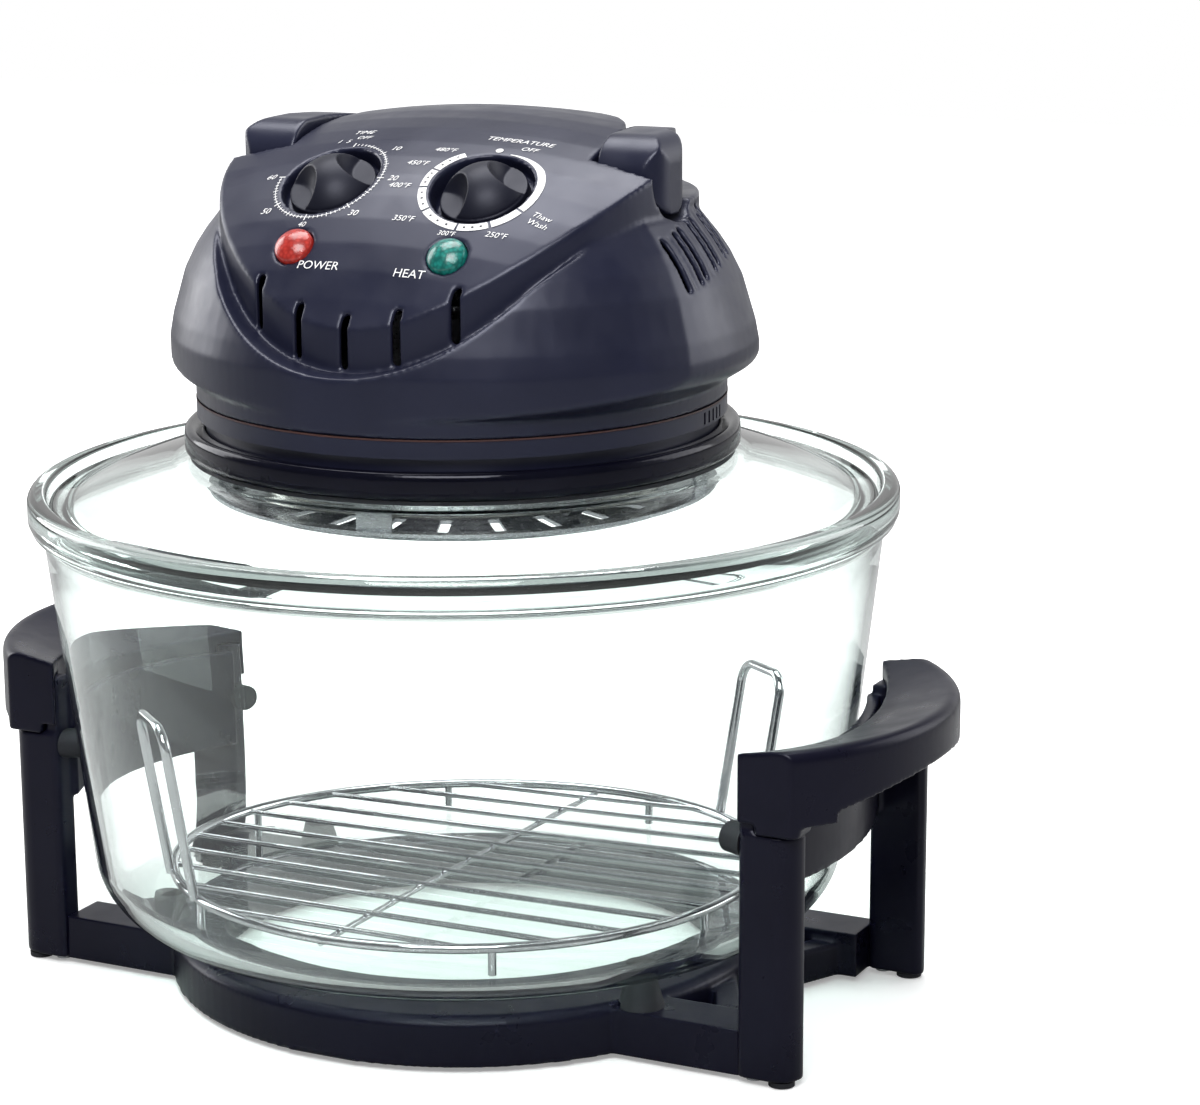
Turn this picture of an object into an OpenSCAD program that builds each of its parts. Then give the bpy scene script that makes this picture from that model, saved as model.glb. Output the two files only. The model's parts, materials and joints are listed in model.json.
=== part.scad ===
// Countertop halogen oven: glass bowl in a black stand, glass lid with a lift-off heating head.
// Millimetres. Z up. Origin: on the table under the middle of the bowl. Front is -Y, grips are on +X and -X.

/* [Bowl] */
// Outer radius of the rolled rim
rim_r = 172; // [168:0.5:174]
// Height of the rim's top above the table
rim_top_z = 204; // [200:1:212]
// Height of the rim band
rim_h = 14; // [10:1:16]
// Outer radius of the wall just under the rim
wall_top_r = 166; // [163:0.5:167]
// How much narrower the wall is at the bottom corner
wall_taper = 18; // [12:1:24]
// Underside of the bowl above the table
bowl_z = 32; // [28:1:38]
// Radius of the outer bottom corner
bowl_corner_r = 26; // [18:1:34]
// Thickness of the glass at the floor and low on the wall
glass_t = 5; // [4:0.5:6]
// Extra thickness of the wall under the rim
glass_swell = 2; // [1:0.5:3]

/* [Lid glass] */
// Depth of the seat for the lid below the rim's top
seat_drop = 12; // [9:0.5:13]
// Width of the seat
seat_w = 4.5; // [3.5:0.5:6]
// Radial gap between lid and rim
lid_gap = 0.8; // [0.5:0.1:1.5]
// Thickness of the lid's edge
lid_edge_t = 8; // [6:0.5:9]
// Thickness of the lid glass
lid_t = 5; // [4:0.5:6]
// Height of the lid's flat middle above its seat
lid_rise = 24; // [20:1:28]
// Radius of the hole in the glass
lid_hole_r = 93; // [90:0.5:94]
// Outer radius of the flat that the head is clamped to
lid_flat_r = 110; // [109:0.5:114]

/* [Stand] */
// Half the width over the legs
stand_half_w = 173; // [172:1:180]
// Width of a leg along X
leg_w = 23; // [20:1:26]
// Depth of a leg along Y
leg_d = 12; // [10:1:16]
// Distance of the legs' front and rear faces from the middle
leg_face_y = 72; // [68:1:76]
// Height of the step where the grip starts
leg_step_z = 98; // [92:1:104]
// Radius of the legs' outer corners
leg_round = 9; // [5:1:10]
// Height of the base beams
beam_h = 20; // [16:1:21]
// Depth of the base beams along Y
beam_d = 22; // [18:1:24]
// Outer radius of the base ring
base_r = 121; // [119:1:124]
// Radial width of the base ring
base_ring_w = 22; // [18:1:26]
// Height of the base ring's top above the table
base_h = 22; // [20:1:24]
// Wall thickness of the base ring
base_wall = 3; // [2.5:0.5:4]
// Bottom of the curved webs above the table
web_z = 70; // [64:1:80]
// Thickness of the curved webs
web_t = 5; // [4:0.5:6]
// Gap between the stand and the bowl
bowl_clear = 1.5; // [1:0.25:3]
// Height of the rubber feet below the mouldings
foot_h = 2; // [1.5:0.5:3]
// Radius of the rubber feet
foot_r = 5; // [4:0.5:5]

/* [Grips] */
// How far the grips bulge out beyond the legs
grip_bulge = 30; // [25:1:36]
// Top of the grips above the table
grip_top_z = 131; // [128:1:136]
// How far the grip's top slopes down to its inner edge
grip_dish = 9; // [6:0.5:11]
// How far the middle of the grip's inner edge lies inside the legs' outer faces
grip_inset = 3; // [0:0.5:4]
// Height of the outer face beside the legs
grip_end_h = 29; // [25:1:33]
// How far the underside arches up in the middle
grip_arch = 12; // [8:1:14]
// Radius along the grip's top edges
grip_round = 4; // [2:0.5:5]

/* [Head] */
// Outer radius of the flange ring
flange_r = 109.5; // [108:0.5:110]
// Height of the flange ring's outer wall
flange_h = 11; // [9:0.5:12]
// Thickness of the lid seal
seal_t = 1.5; // [1:0.25:2]
// Height of the shadow groove above the flange ring
groove_h = 3.5; // [2.5:0.5:4.5]
// Height of the vented housing ring
housing_h = 7.5; // [6:0.5:9]
// Radius of the head at the seam
head_r = 104.3; // [103:0.1:106]
// Radius of the head over its shoulders
shoulder_r = 117.5; // [114:0.5:119]
// Height of the undercut's lower end above the seam
undercut_h = 7; // [3:0.5:8]
// Distance of the head's front and rear walls from the middle
end_wall_y = 104; // [102:0.5:104]
// How far beyond the middle the arcs of those walls are centred
wall_shift = 20.8; // [16:0.4:24]
// Wall thickness of the plastic mouldings
shell_t = 2.5; // [2:0.25:3]

/* [Control panel] */
// Radius of the raised panel drum
panel_r = 93; // [91:0.5:94]
// Highest point of the head above the table
panel_top_z = 347.5; // [345:0.5:350]
// Front to back radius of the panel's top
panel_arc_r = 140; // [136:1:146]
// Side to side radius of the panel's top
panel_cross_r = 390; // [340:10:440]
// How far the highest line lies behind the middle
panel_crest_y = 28; // [24:1:32]
// Height of the crease below the panel at its front tip, above the seam
crease_z = 21.5; // [19:0.5:23]
// Radius of the crease's round front
crease_r = 85; // [80:1:90]
// Distance of the crease's rear ends in front of the middle
crease_end_y = 20; // [16:1:24]
// Sideways distance of the knobs and lenses from the middle
knob_x = 32.5; // [30:0.5:34]
// How far the knobs are in front of the middle
knob_y = 43.5; // [42:0.5:46]
// How far the lenses are in front of the middle
lens_y = 72; // [70:0.5:74]
// Radius of a knob
knob_r = 17.5; // [16:0.5:18]
// Gap between a knob and its recess
knob_gap = 2.3; // [1.5:0.1:3]
// Depth of the knob recesses
recess_d = 9; // [7:0.5:10]
// Height of a knob's grip above the panel
knob_grip_h = 6.5; // [4:0.5:9]
// Width of a knob's grip at its waist
knob_grip_w = 9; // [7:0.5:11]
// Radius of the knob shafts
dial_shaft_r = 3; // [2.5:0.5:4]
// Radius of a lens
lens_r = 7.6; // [6:0.2:8.4]
// Number of slots on the panel's front
panel_slots = 5; // [3:2:5]
// Distance between those slots
panel_slot_pitch = 20.8; // [18:0.2:22]
// Height of those slots
panel_slot_h = 21; // [16:1:22]
// Width of those slots
panel_slot_w = 3; // [2:0.25:4]

/* [Carry handle] */
// Half the width over the handle's arms
handle_half_w = 92; // [90:0.5:93]
// Width of an arm along X
arm_w = 26; // [22:1:28]
// Height of the hinge axis above the table
hinge_z = 328; // [326:0.5:330]
// Radius of the knuckles
knuckle_r = 15; // [13:0.5:16]
// Gap around the folded handle
handle_gap = 1.2; // [1:0.1:1.6]
// Gap around the knuckles, for the turn of the handle
fold_gap = 2.5; // [2.3:0.1:3]
// Outer radius of the half ring behind the bonnet
handle_out_r = 84; // [82:0.5:85]
// Depth of the handle's underside below the hinge axis
handle_drop = 8.5; // [7:0.5:9]
// Radius of the hinge pins
hinge_pin_r = 3; // [2.5:0.5:4]

/* [Vents] */
// Number of louvres on each shoulder
louvres = 11; // [7:1:13]
// Distance between the louvres
louvre_pitch = 4.8; // [4.4:0.1:5]
// Width of a louvre
louvre_w = 2.1; // [1.4:0.1:2.4]
// Height of a louvre
louvre_h = 19; // [14:1:20]
// Height of the foremost louvre's foot above the seam
louvre_low = 47.5; // [45:0.5:49]
// Number of vents on each side of the housing ring
ring_vents = 5; // [3:1:7]

/* [Heater] */
// Radius of the guard's rolled lip
guard_r = 100.4; // [98:0.2:102]
// Height of the guard's lip below the lid glass
guard_drop = 10; // [8:0.5:12]
// Depth of the guard's dish
guard_dish = 4; // [3:0.5:5]
// Thickness of the sheet metal
sheet_t = 1.2; // [0.8:0.1:1.5]
// Rings of round holes in the guard
guard_hole_rings = 4; // [2:1:4]
// Number of radial slots in the guard
guard_slots = 24; // [12:4:32]
// Radius of the lamp's ring
lamp_ring_r = 76; // [73:1:78]
// Radius of the lamp's tube
lamp_tube_r = 4.5; // [4:0.25:5]
// Radius of the lamp's upright ends
lamp_end_r = 3.5; // [2.5:0.25:3.8]
// Radius of the reflector's wall
reflector_r = 90; // [88:0.5:90]
// Height of the reflector's wall
reflector_h = 25; // [22:1:25]

/* [Drive] */
// Radius of the motor
motor_r = 27; // [22:1:29]
// Height of the motor
motor_h = 26; // [20:1:27]
// Radius of the motor shaft
shaft_r = 3; // [2.5:0.5:4]
// Radius of the convection fan
fan_r = 60; // [50:1:62]
// Height of the convection fan's blades
fan_h = 8; // [6:1:9]
// Radius of the cooling fan
cooler_r = 33; // [26:1:35]
// Blades on each fan
fan_blades = 6; // [4:1:8]

/* [Rack] */
// Radius of the rack's ring
rack_r = 119; // [112:1:121]
// Height of the rack above the bowl's floor
rack_h = 13; // [10:1:18]
// Radius of the ring's wire
rack_wire_r = 2; // [1.5:0.25:2.25]
// Radius of the rack's feet
rack_foot_r = 1.6; // [1.2:0.1:1.8]
// Radius of the thin cross wires
cross_wire_r = 1.2; // [1:0.1:1.5]
// Number of cross wires
cross_wires = 11; // [7:2:13]
// Width of the upright wire handles
rack_handle_w = 38; // [30:1:44]
// Height of the upright wire handles
rack_handle_h = 72; // [55:1:76]
// Outward lean of those handles in degrees
rack_lean = 8; // [4:1:9]

/* [Hidden] */
$fn = 96;
wire_fn = 30;            // facets around a wire
far = 400;               // longer than anything it cuts
run_gap = 0.05;          // radial clearance of a shaft that turns in a hole
still_gap = 0.02;        // radial clearance of a piece that is fixed in a hole
part_gap = 0.4;          // clearance between moulded pieces that fit together
soft_gap = 0.3;          // clearance where round faces of moving pieces meet

// Bowl
wall_top_z = rim_top_z - rim_h - 4;
wall_slope = wall_taper / (wall_top_z - bowl_z);
wall_angle = atan(wall_slope);
function bowl_out_r(z) = wall_top_r - (wall_top_z - z) * wall_slope;
seat_z = rim_top_z - seat_drop;
seat_out_r = rim_r - 7.7;
seat_in_r = seat_out_r - seat_w;
floor_z = bowl_z + glass_t;

// Lid
lid_r = seat_out_r - lid_gap;
lid_top_z = seat_z + lid_rise;
lid_flat_z = lid_top_z - lid_t;

// Head, from the glass upwards
flange_z = lid_top_z + seal_t;
flange_top_z = flange_z + flange_h;
housing_z = flange_top_z + groove_h;
seam_z = housing_z + housing_h;
neck_r = head_r - 3.3;
ledge_in_r = neck_r - 5;
plate_z = seam_z;
plate_t = 1.5;
plate_top_z = plate_z + plate_t;
plate_r = head_r - shell_t - 0.8;
undercut_z = seam_z + undercut_h;
shoulder_low_z = undercut_z + 11;
inlet_z = seam_z + 24;
inlet_r = 7;

// Panel surface
arc_centre_z = panel_top_z - panel_arc_r;
function panel_z(y) = arc_centre_z + sqrt(pow(panel_arc_r, 2) - pow(y - panel_crest_y, 2));
function panel_tilt(y) = asin((panel_crest_y - y) / panel_arc_r);
function cross_drop(x) = panel_cross_r - sqrt(pow(panel_cross_r, 2) - pow(x, 2));
crease_centre_z = seam_z + crease_z + crease_r;
function crease_at(x) = crease_centre_z - sqrt(pow(crease_r, 2) - pow(x, 2));

// Heater
reflector_z = lid_flat_z - sheet_t;
reflector_top_z = reflector_z + reflector_h;
reflector_rim_r = lid_hole_r + 5.5;
guard_lip_z = lid_flat_z - guard_drop;
guard_z = guard_lip_z - guard_dish;
lamp_z = guard_lip_z + 4;
post_r = 66;             // ring on which posts and reflector screws stand
screw_r = 1.9;
screw_hole_r = 2;
screw_head_r = 3.6;
screw_head_h = 2;

// Drive
motor_z = plate_top_z + 4.5;
motor_top_z = motor_z + motor_h;
shaft_low_z = lamp_z + 9;
shaft_top_z = motor_top_z + 12;

// Handle
arm_in_x = handle_half_w - arm_w;
bonnet_r = arm_in_x - handle_gap;
handle_in_r = arm_in_x + fold_gap / 2 + 0.4;
arm_low_z = hinge_z - handle_drop;
rebate_z = arm_low_z - 2;
pocket_r = knuckle_r + fold_gap;
plunger_x = arm_in_x + 6;
plunger_y = 30;
plunger_r = 3;
plunger_len = 14;
switch_size = [10, 20, 14];

// Stand
leg_in_x = stand_half_w - leg_w;
leg_in_y = leg_face_y - leg_d;
leg_mid_x = stand_half_w - leg_w / 2;
leg_mid_y = leg_face_y - leg_d / 2;
grip_reach = stand_half_w + grip_bulge;
grip_inner_x = stand_half_w - grip_inset;
web_out_r = grip_inner_x - 5;
web_top_z = grip_top_z - 14;
tongue = [18, 7, 10];
stand_screw_x = leg_mid_x - 6.5;
foot_x = leg_mid_x + 4.5;
grip_out_r = (pow(grip_reach - stand_half_w, 2) + pow(leg_face_y, 2)) / (2 * (grip_reach - stand_half_w));
grip_in_r = (pow(grip_inner_x - leg_in_x, 2) + pow(leg_face_y, 2)) / (2 * (grip_inner_x - leg_in_x));
arch_cut_r = (pow(leg_face_y, 2) + pow(grip_arch, 2)) / (2 * grip_arch);
cap_proud = 1.2;
pad_x = 106;
pad_y = 61;
bumper_z = 93;
bumper_r = 6;
bumper_angle = 23.5;

// Rack
rack_z = floor_z + rack_h;

plastic = [0.06, 0.065, 0.085];
gloss = [0.03, 0.03, 0.035];
glass = [0.75, 0.88, 0.85, 0.35];
steel = [0.75, 0.76, 0.78];

// Helpers ------------------------------------------------------------------------------------

// Points on an arc from angle a to angle b.
function arc_points(cx, cy, r, a, b, n = 8) =
    [for (i = [0 : n]) let (t = a + (b - a) * i / n) [cx + r * cos(t), cy + r * sin(t)]];

module rounded_plan(w, d, r) {
    square([w - 2 * r, d], center = true);
    square([w, d - 2 * r], center = true);
    for (sx = [-1, 1], sy = [-1, 1])
        translate([sx * (w / 2 - r), sy * (d / 2 - r)])
            circle(r);
}

module tube(out_r, in_r, low_z, high_z) {
    translate([0, 0, low_z])
        difference() {
            cylinder(r = out_r, h = high_z - low_z);
            translate([0, 0, -1])
                cylinder(r = in_r, h = high_z - low_z + 2);
        }
}

module four_ways(x, y) {
    for (sx = [-1, 1], sy = [-1, 1])
        translate([sx * x, sy * y, 0])
            children();
}

// Puts its children on the panel's surface, with their Z along the surface's normal.
module on_panel(x, front) {
    translate([x, -front, panel_z(-front) - cross_drop(x)])
        rotate([panel_tilt(-front), 0, 0])
            children();
}

// Everything inside the bowl's outer face, grown by a gap.
module bowl_room(gap) {
    rotate_extrude()
        polygon([[0, bowl_z - gap], [bowl_out_r(bowl_z) + gap, bowl_z - gap],
                 [bowl_out_r(bowl_z) + gap, bowl_z], [wall_top_r + gap, wall_top_z],
                 [wall_top_r + gap, rim_top_z + far], [0, rim_top_z + far]]);
}

// Stand --------------------------------------------------------------------------------------

module base_channel() {
    rotate_extrude()
        difference() {
            polygon([[base_r - base_ring_w, foot_h], [base_r - base_ring_w, base_h - 1],
                     [base_r - base_ring_w + 1, base_h], [base_r - 3, base_h], [base_r, base_h - 3],
                     [base_r, foot_h]]);
            translate([base_r - base_ring_w + base_wall, foot_h - 1])
                square([base_ring_w - 2 * base_wall, base_h - foot_h - base_wall + 1]);
        }
}

module base_beam(side_y) {
    beam_y = leg_face_y - 2;
    start_x = sqrt(pow(base_r, 2) - pow(beam_y - beam_d / 2, 2)) - base_wall - 12;
    for (sx = [-1, 1])
        difference() {
            union() {
                translate([sx > 0 ? start_x : -leg_in_x, side_y > 0 ? beam_y - beam_d : -beam_y, foot_h])
                    cube([leg_in_x - start_x, beam_d, beam_h - foot_h]);
                translate([sx > 0 ? leg_in_x - 1 : -leg_in_x - tongue[0] + 1,
                           side_y * leg_mid_y - tongue[1] / 2, foot_h])
                    cube(tongue);
            }
            cylinder(r = base_r - base_wall, h = far, center = true);
            translate([sx * stand_screw_x, side_y * leg_mid_y, 0])
                cylinder(r = screw_hole_r, h = 40, center = true);
        }
}

// A diagonal rib closes the triangular pocket between the ring and each beam.
module base_ribs() {
    for (sx = [-1, 1], sy = [-1, 1])
        difference() {
            linear_extrude(height = beam_h - 4)
                polygon([[sx * (base_r - 9), sy * 8], [sx * base_r, sy * 5],
                         [sx * (leg_in_x - 6), sy * 50], [sx * (leg_in_x - 17), sy * 50]]);
            cylinder(r = base_r - base_wall, h = far, center = true);
            translate([-far / 2, -far / 2, -1])
                cube([far, far, foot_h + 1]);
        }
}

module stand_base() {
    color(plastic) {
        base_channel();
        base_beam(-1);
        base_beam(1);
        base_ribs();
    }
}

module leg(sy) {
    translate([leg_mid_x, sy * leg_mid_y, foot_h])
        linear_extrude(height = leg_step_z - foot_h)
            rounded_plan(leg_w, leg_d, 2.5);
    translate([leg_in_x, sy * leg_mid_y - leg_d / 2 + 1, leg_step_z - 1])
        cube([6.5, leg_d - 2, grip_top_z - grip_dish - leg_step_z]);
}

// Curved web between the two legs of a side, grown by a gap.
module leg_web(gap) {
    half_y = leg_in_y + 2 + gap;
    intersection() {
        tube(web_out_r + gap, web_out_r - web_t - gap, web_z - gap, web_top_z + gap);
        translate([0, -half_y, 0])
            cube([far, 2 * half_y, far]);
    }
}

module leg_frame() {
    color(plastic)
        difference() {
            union() {
                leg(-1);
                leg(1);
                leg_web(0);
            }
            bowl_room(bowl_clear);
            // rounded outer corners
            for (sy = [-1, 1])
                translate([stand_half_w - leg_round, sy * (leg_face_y - leg_round), -1])
                    difference() {
                        translate([0, sy > 0 ? 0 : -leg_round - 1, 0])
                            cube([leg_round + 1, leg_round + 1, far]);
                        translate([0, 0, -1])
                            cylinder(r = leg_round, h = far + 2);
                    }
            // pockets for the base's tongues and screws
            for (sy = [-1, 1])
                translate([0, sy * leg_mid_y, 0]) {
                    translate([leg_in_x - 2, -tongue[1] / 2 - part_gap / 2, 0])
                        cube([tongue[0] + 1 + part_gap, tongue[1] + part_gap, foot_h + tongue[2] + part_gap]);
                    translate([stand_screw_x, 0, 0])
                        cylinder(r = screw_r + still_gap, h = foot_h + 28);
                }
        }
}

module left_leg_frame() {
    mirror([1, 0, 0])
        leg_frame();
}

module right_leg_frame() {
    leg_frame();
}

module grip_section() {
    outer = grip_out_r;
    slope = atan(grip_dish / (grip_reach - grip_inner_x));
    polygon(concat(
        [[outer - 60, grip_top_z - far / 4], [outer, grip_top_z - far / 4]],
        arc_points(outer - grip_round, grip_top_z - grip_round, grip_round, 0, 90 + slope, 6),
        [[outer - 60, grip_top_z - (60 - grip_round) * tan(slope)]]));
}

module grip() {
    grip_z = grip_top_z - grip_end_h;
    color(plastic)
        difference() {
            intersection() {
                union() {
                    translate([0, 0, grip_z])
                        linear_extrude(height = grip_end_h + 1)
                            difference() {
                                intersection() {
                                    translate([grip_reach - grip_out_r, 0])
                                        circle(grip_out_r);
                                    translate([leg_in_x, -leg_face_y - cap_proud])
                                        square([far, 2 * (leg_face_y + cap_proud)]);
                                }
                                translate([grip_inner_x - grip_in_r, 0])
                                    circle(grip_in_r);
                            }
                    // caps over the legs
                    for (sy = [-1, 1])
                        translate([leg_in_x + 7, sy > 0 ? leg_in_y - cap_proud : -leg_face_y - cap_proud,
                                   leg_step_z])
                            cube([leg_w - 7 + cap_proud, leg_d + 2 * cap_proud, grip_end_h + 6]);
                }
                translate([grip_reach - grip_out_r, 0, 0])
                    rotate_extrude()
                        grip_section();
            }
            // arched underside
            translate([0, 0, grip_z + grip_arch - arch_cut_r])
                rotate([0, 90, 0])
                    intersection() {
                        cylinder(r = arch_cut_r, h = far);
                        translate([-far, -leg_in_y + cap_proud + 1, -1])
                            cube([2 * far, 2 * (leg_in_y - cap_proud - 1), far + 2]);
                    }
            // the leg's tongue and web stay free
            for (sy = [-1, 1])
                translate([leg_in_x - 1, sy * leg_mid_y - leg_d / 2 + 1 - part_gap, leg_step_z - 2])
                    cube([7.5 + part_gap, leg_d - 2 + 2 * part_gap,
                          grip_top_z - grip_dish - leg_step_z + 1 + part_gap]);
            bowl_room(bowl_clear);
            translate([0, 0, web_z])
                cylinder(r = web_out_r + part_gap, h = web_top_z - web_z + part_gap);
        }
}

module left_grip() {
    mirror([1, 0, 0])
        grip();
}

module right_grip() {
    grip();
}

module bowl_pads() {
    color(gloss)
        difference() {
            four_ways(pad_x, pad_y)
                translate([0, 0, beam_h])
                    cylinder(r1 = 9, r2 = 6, h = bowl_z - beam_h);
            cylinder(r = base_r, h = base_h);
        }
}

module side_bumpers() {
    color(gloss)
        for (turn = [bumper_angle, -bumper_angle, 180 + bumper_angle, 180 - bumper_angle])
            difference() {
                rotate([0, 0, turn])
                    translate([bowl_out_r(bumper_z + bumper_r) + soft_gap, 0, bumper_z])
                        rotate([0, 90, 0])
                            cylinder(r = bumper_r, h = 20);
                for (side = [0, 180])
                    rotate([0, 0, side]) {
                        translate([leg_in_x, -far / 2, 0])
                            cube([far, far, far]);
                        leg_web(part_gap);
                    }
            }
}

module rubber_feet() {
    color(gloss)
        four_ways(foot_x, leg_mid_y)
            cylinder(r = foot_r, h = foot_h);
}

module stand_screws() {
    color(steel)
        four_ways(stand_screw_x, leg_mid_y)
            union() {
                translate([0, 0, foot_h - 1.4])
                    cylinder(r = 3, h = 1.4);
                translate([0, 0, foot_h - 0.5])
                    cylinder(r = screw_r, h = 24);
            }
}

// Bowl and rack ------------------------------------------------------------------------------

module glass_bowl() {
    corner_z = bowl_z + bowl_corner_r;
    corner_x = bowl_out_r(corner_z) - bowl_corner_r / cos(wall_angle);
    inner_r = bowl_corner_r - glass_t;
    rim_round = 3;
    color(glass)
        rotate_extrude()
            polygon(concat(
                [[0, bowl_z]],
                arc_points(corner_x, corner_z, bowl_corner_r, -90, -wall_angle, 10),
                [[wall_top_r, wall_top_z], [rim_r - 1.4, rim_top_z - rim_h], [rim_r, rim_top_z - rim_h + 3]],
                arc_points(rim_r - rim_round, rim_top_z - rim_round, rim_round, 0, 90, 5),
                [[seat_out_r + 1, rim_top_z], [seat_out_r, rim_top_z - 1], [seat_out_r, seat_z],
                 [seat_in_r, seat_z], [wall_top_r - glass_t - glass_swell, wall_top_z]],
                arc_points(corner_x, corner_z, inner_r, -wall_angle, -90, 10),
                [[0, floor_z]]));
}

module rack_handle(turn) {
    bend = 9;
    half = rack_handle_w / 2;
    rotate([0, 0, turn])
        translate([rack_r, 0, rack_z])
            rotate([0, rack_lean, 0]) {
                for (s = [-1, 1]) {
                    translate([0, s * half, 0])
                        cylinder(r = rack_wire_r, h = rack_handle_h - bend, $fn = wire_fn);
                    translate([0, s * (half - bend), rack_handle_h - bend])
                        rotate([90, 0, 90])
                            rotate([0, 0, s > 0 ? 0 : 90])
                                rotate_extrude(angle = 90, $fn = 32)
                                    translate([bend, 0])
                                        circle(rack_wire_r, $fn = wire_fn);
                }
                translate([0, -half + bend, rack_handle_h])
                    rotate([-90, 0, 0])
                        cylinder(r = rack_wire_r, h = rack_handle_w - 2 * bend, $fn = wire_fn);
            }
}

module wire_rack() {
    span = 2 * (rack_r - 14);
    step = span / (cross_wires - 1);
    color(steel) {
        translate([0, 0, rack_z])
            rotate_extrude($fn = 64)
                translate([rack_r, 0])
                    circle(rack_wire_r, $fn = wire_fn);
        for (i = [0 : cross_wires - 1])
            let (y = -span / 2 + i * step, half = sqrt(pow(rack_r, 2) - pow(y, 2)))
                translate([-half, y, rack_z])
                    rotate([0, 90, 0])
                        cylinder(r = cross_wire_r, h = 2 * half, $fn = wire_fn);
        translate([0, -rack_r, rack_z - rack_wire_r])
            rotate([-90, 0, 0])
                cylinder(r = cross_wire_r, h = 2 * rack_r, $fn = wire_fn);
        for (turn = [-58, -13, 77, 122, 167, 237])
            rotate([0, 0, turn])
                translate([rack_r, 0, floor_z])
                    cylinder(r = rack_foot_r, h = rack_h, $fn = wire_fn);
    }
}

module rack_handles() {
    color(steel)
        for (turn = [-133, 47])
            rack_handle(turn);
}

// Lid ----------------------------------------------------------------------------------------

module glass_lid() {
    shoulder_r = lid_r - 6;
    shoulder_z = seat_z + lid_edge_t;
    mid_r = (shoulder_r + lid_flat_r) / 2;
    mid_z = shoulder_z + (lid_top_z - shoulder_z) * 0.62;
    color(glass)
        rotate_extrude()
            polygon(concat(
                [[lid_r, seat_z]],
                arc_points(lid_r - 2, shoulder_z - 2, 2, 0, 90, 4),
                [[shoulder_r, shoulder_z], [mid_r, mid_z], [lid_flat_r, lid_top_z], [lid_hole_r, lid_top_z],
                 [lid_hole_r, lid_flat_z], [lid_flat_r, lid_flat_z], [mid_r, mid_z - lid_t],
                 [shoulder_r - 2, seat_z + lid_edge_t - lid_t], [shoulder_r - 3, seat_z]]));
}

module lid_seal() {
    color(gloss)
        tube(flange_r - 2, neck_r - 2, lid_top_z, flange_z);
}

// Head casings -------------------------------------------------------------------------------

module flange_ring() {
    in_r = neck_r + part_gap;
    color(gloss)
        rotate_extrude()
            polygon(concat(
                [[in_r, flange_z], [flange_r - 2, flange_z], [flange_r, flange_z + 2]],
                arc_points(flange_r - 2.5, flange_top_z - 2.5, 2.5, 0, 90, 5),
                [[in_r, flange_top_z - 1]]));
}

module lower_housing() {
    in_r = neck_r - shell_t;
    color(plastic)
        difference() {
            rotate_extrude()
                polygon([[in_r, flange_z], [neck_r, flange_z], [neck_r, housing_z], [head_r, housing_z + 0.6],
                         [head_r, seam_z - 0.5], [head_r - 0.5, seam_z], [ledge_in_r, seam_z],
                         [ledge_in_r, seam_z - 3], [in_r, seam_z - 3 - (in_r - ledge_in_r)]]);
            for (side = [0, 180], i = [0 : ring_vents - 1])
                rotate([0, 0, side + (i - (ring_vents - 1) / 2) * 2.4 + (side > 0 ? -5 : 5)])
                    translate([head_r - 2.2, -0.8, housing_z + 1.4])
                        cube([6, 1.6, housing_h - 2.8]);
            for (turn = [45 : 90 : 315])
                rotate([0, 0, turn])
                    translate([ledge_in_r + 2.6, 0, seam_z - 7])
                        cylinder(r = screw_r + still_gap, h = 10);
        }
}

// Outer profile of the head above the shoulder band, as (radius, height).
function dome_profile(r, inset) =
    [for (p = [[0, 22.5, 0], [1.5, 30.5, 0], [6.5, 47.5, 0], [11, 56.5, 0], [15, 62.5, 0], [23, 72.5, 0.5],
               [31, 78.5, 1], [47, 84.5, 1], [67, 88.5, 1], [r, 92.5, 1]])
        [r - p[0], seam_z + p[1] - p[2] * inset]];

module wall_dome(r, low, inset) {
    rotate_extrude()
        polygon(concat([[0, low], [r, low]], dome_profile(r, inset)));
}

// Round dome with undercut shoulders, held in at the front and rear by two wider domes off the middle.
module dome(inset) {
    low = seam_z - (inset > 0 ? 1 : 0);
    r = shoulder_r - inset;
    wall_r = end_wall_y + wall_shift - inset;
    intersection() {
        rotate_extrude()
            polygon(concat(
                [[0, low], [head_r - inset, low], [head_r - inset, undercut_z + inset],
                 [r - 2, shoulder_low_z - 4 + inset / 2], [r, shoulder_low_z + inset / 2]],
                dome_profile(r, inset)));
        translate([0, wall_shift, 0])
            wall_dome(wall_r, low - 1, inset);
        translate([0, -wall_shift, 0])
            wall_dome(wall_r, low - 1, inset);
    }
}

// Space above the crease, in front of the shoulders: a round front that runs on upwards at 45 degrees.
module crease_cut(inset) {
    line_gap = 0.5;      // the lines cross the round front a little instead of touching it
    low = (crease_r + inset - line_gap) * sqrt(2);
    side = (crease_r + inset) * sin(45);
    translate([0, -crease_end_y + inset, crease_centre_z])
        rotate([90, 0, 0]) {
            cylinder(r = crease_r + inset, h = far);
            linear_extrude(height = far)
                polygon([[-side, side - low], [side, side - low], [far, far - low], [-far, far - low]]);
        }
}

// Rounded top of the raised panel, a wide drum with a softly crowned face.
module panel_drum(inset) {
    front_y = panel_crest_y - panel_arc_r + 6;
    arc_out = panel_cross_r - panel_arc_r;
    intersection() {
        translate([0, 0, seam_z + 5])
            cylinder(r = panel_r - inset, h = far);
        translate([0, 0, panel_top_z - panel_cross_r])
            rotate([-90, 0, 0])
                rotate_extrude()
                    polygon(concat(
                        [[0, front_y], [arc_out + 20, front_y]],
                        arc_points(arc_out, panel_crest_y, panel_arc_r - inset, -70, 60, 26),
                        [[0, panel_crest_y + 100]]));
    }
}

module head_form(inset) {
    difference() {
        dome(inset);
        crease_cut(inset);
    }
    panel_drum(inset);
}

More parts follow.
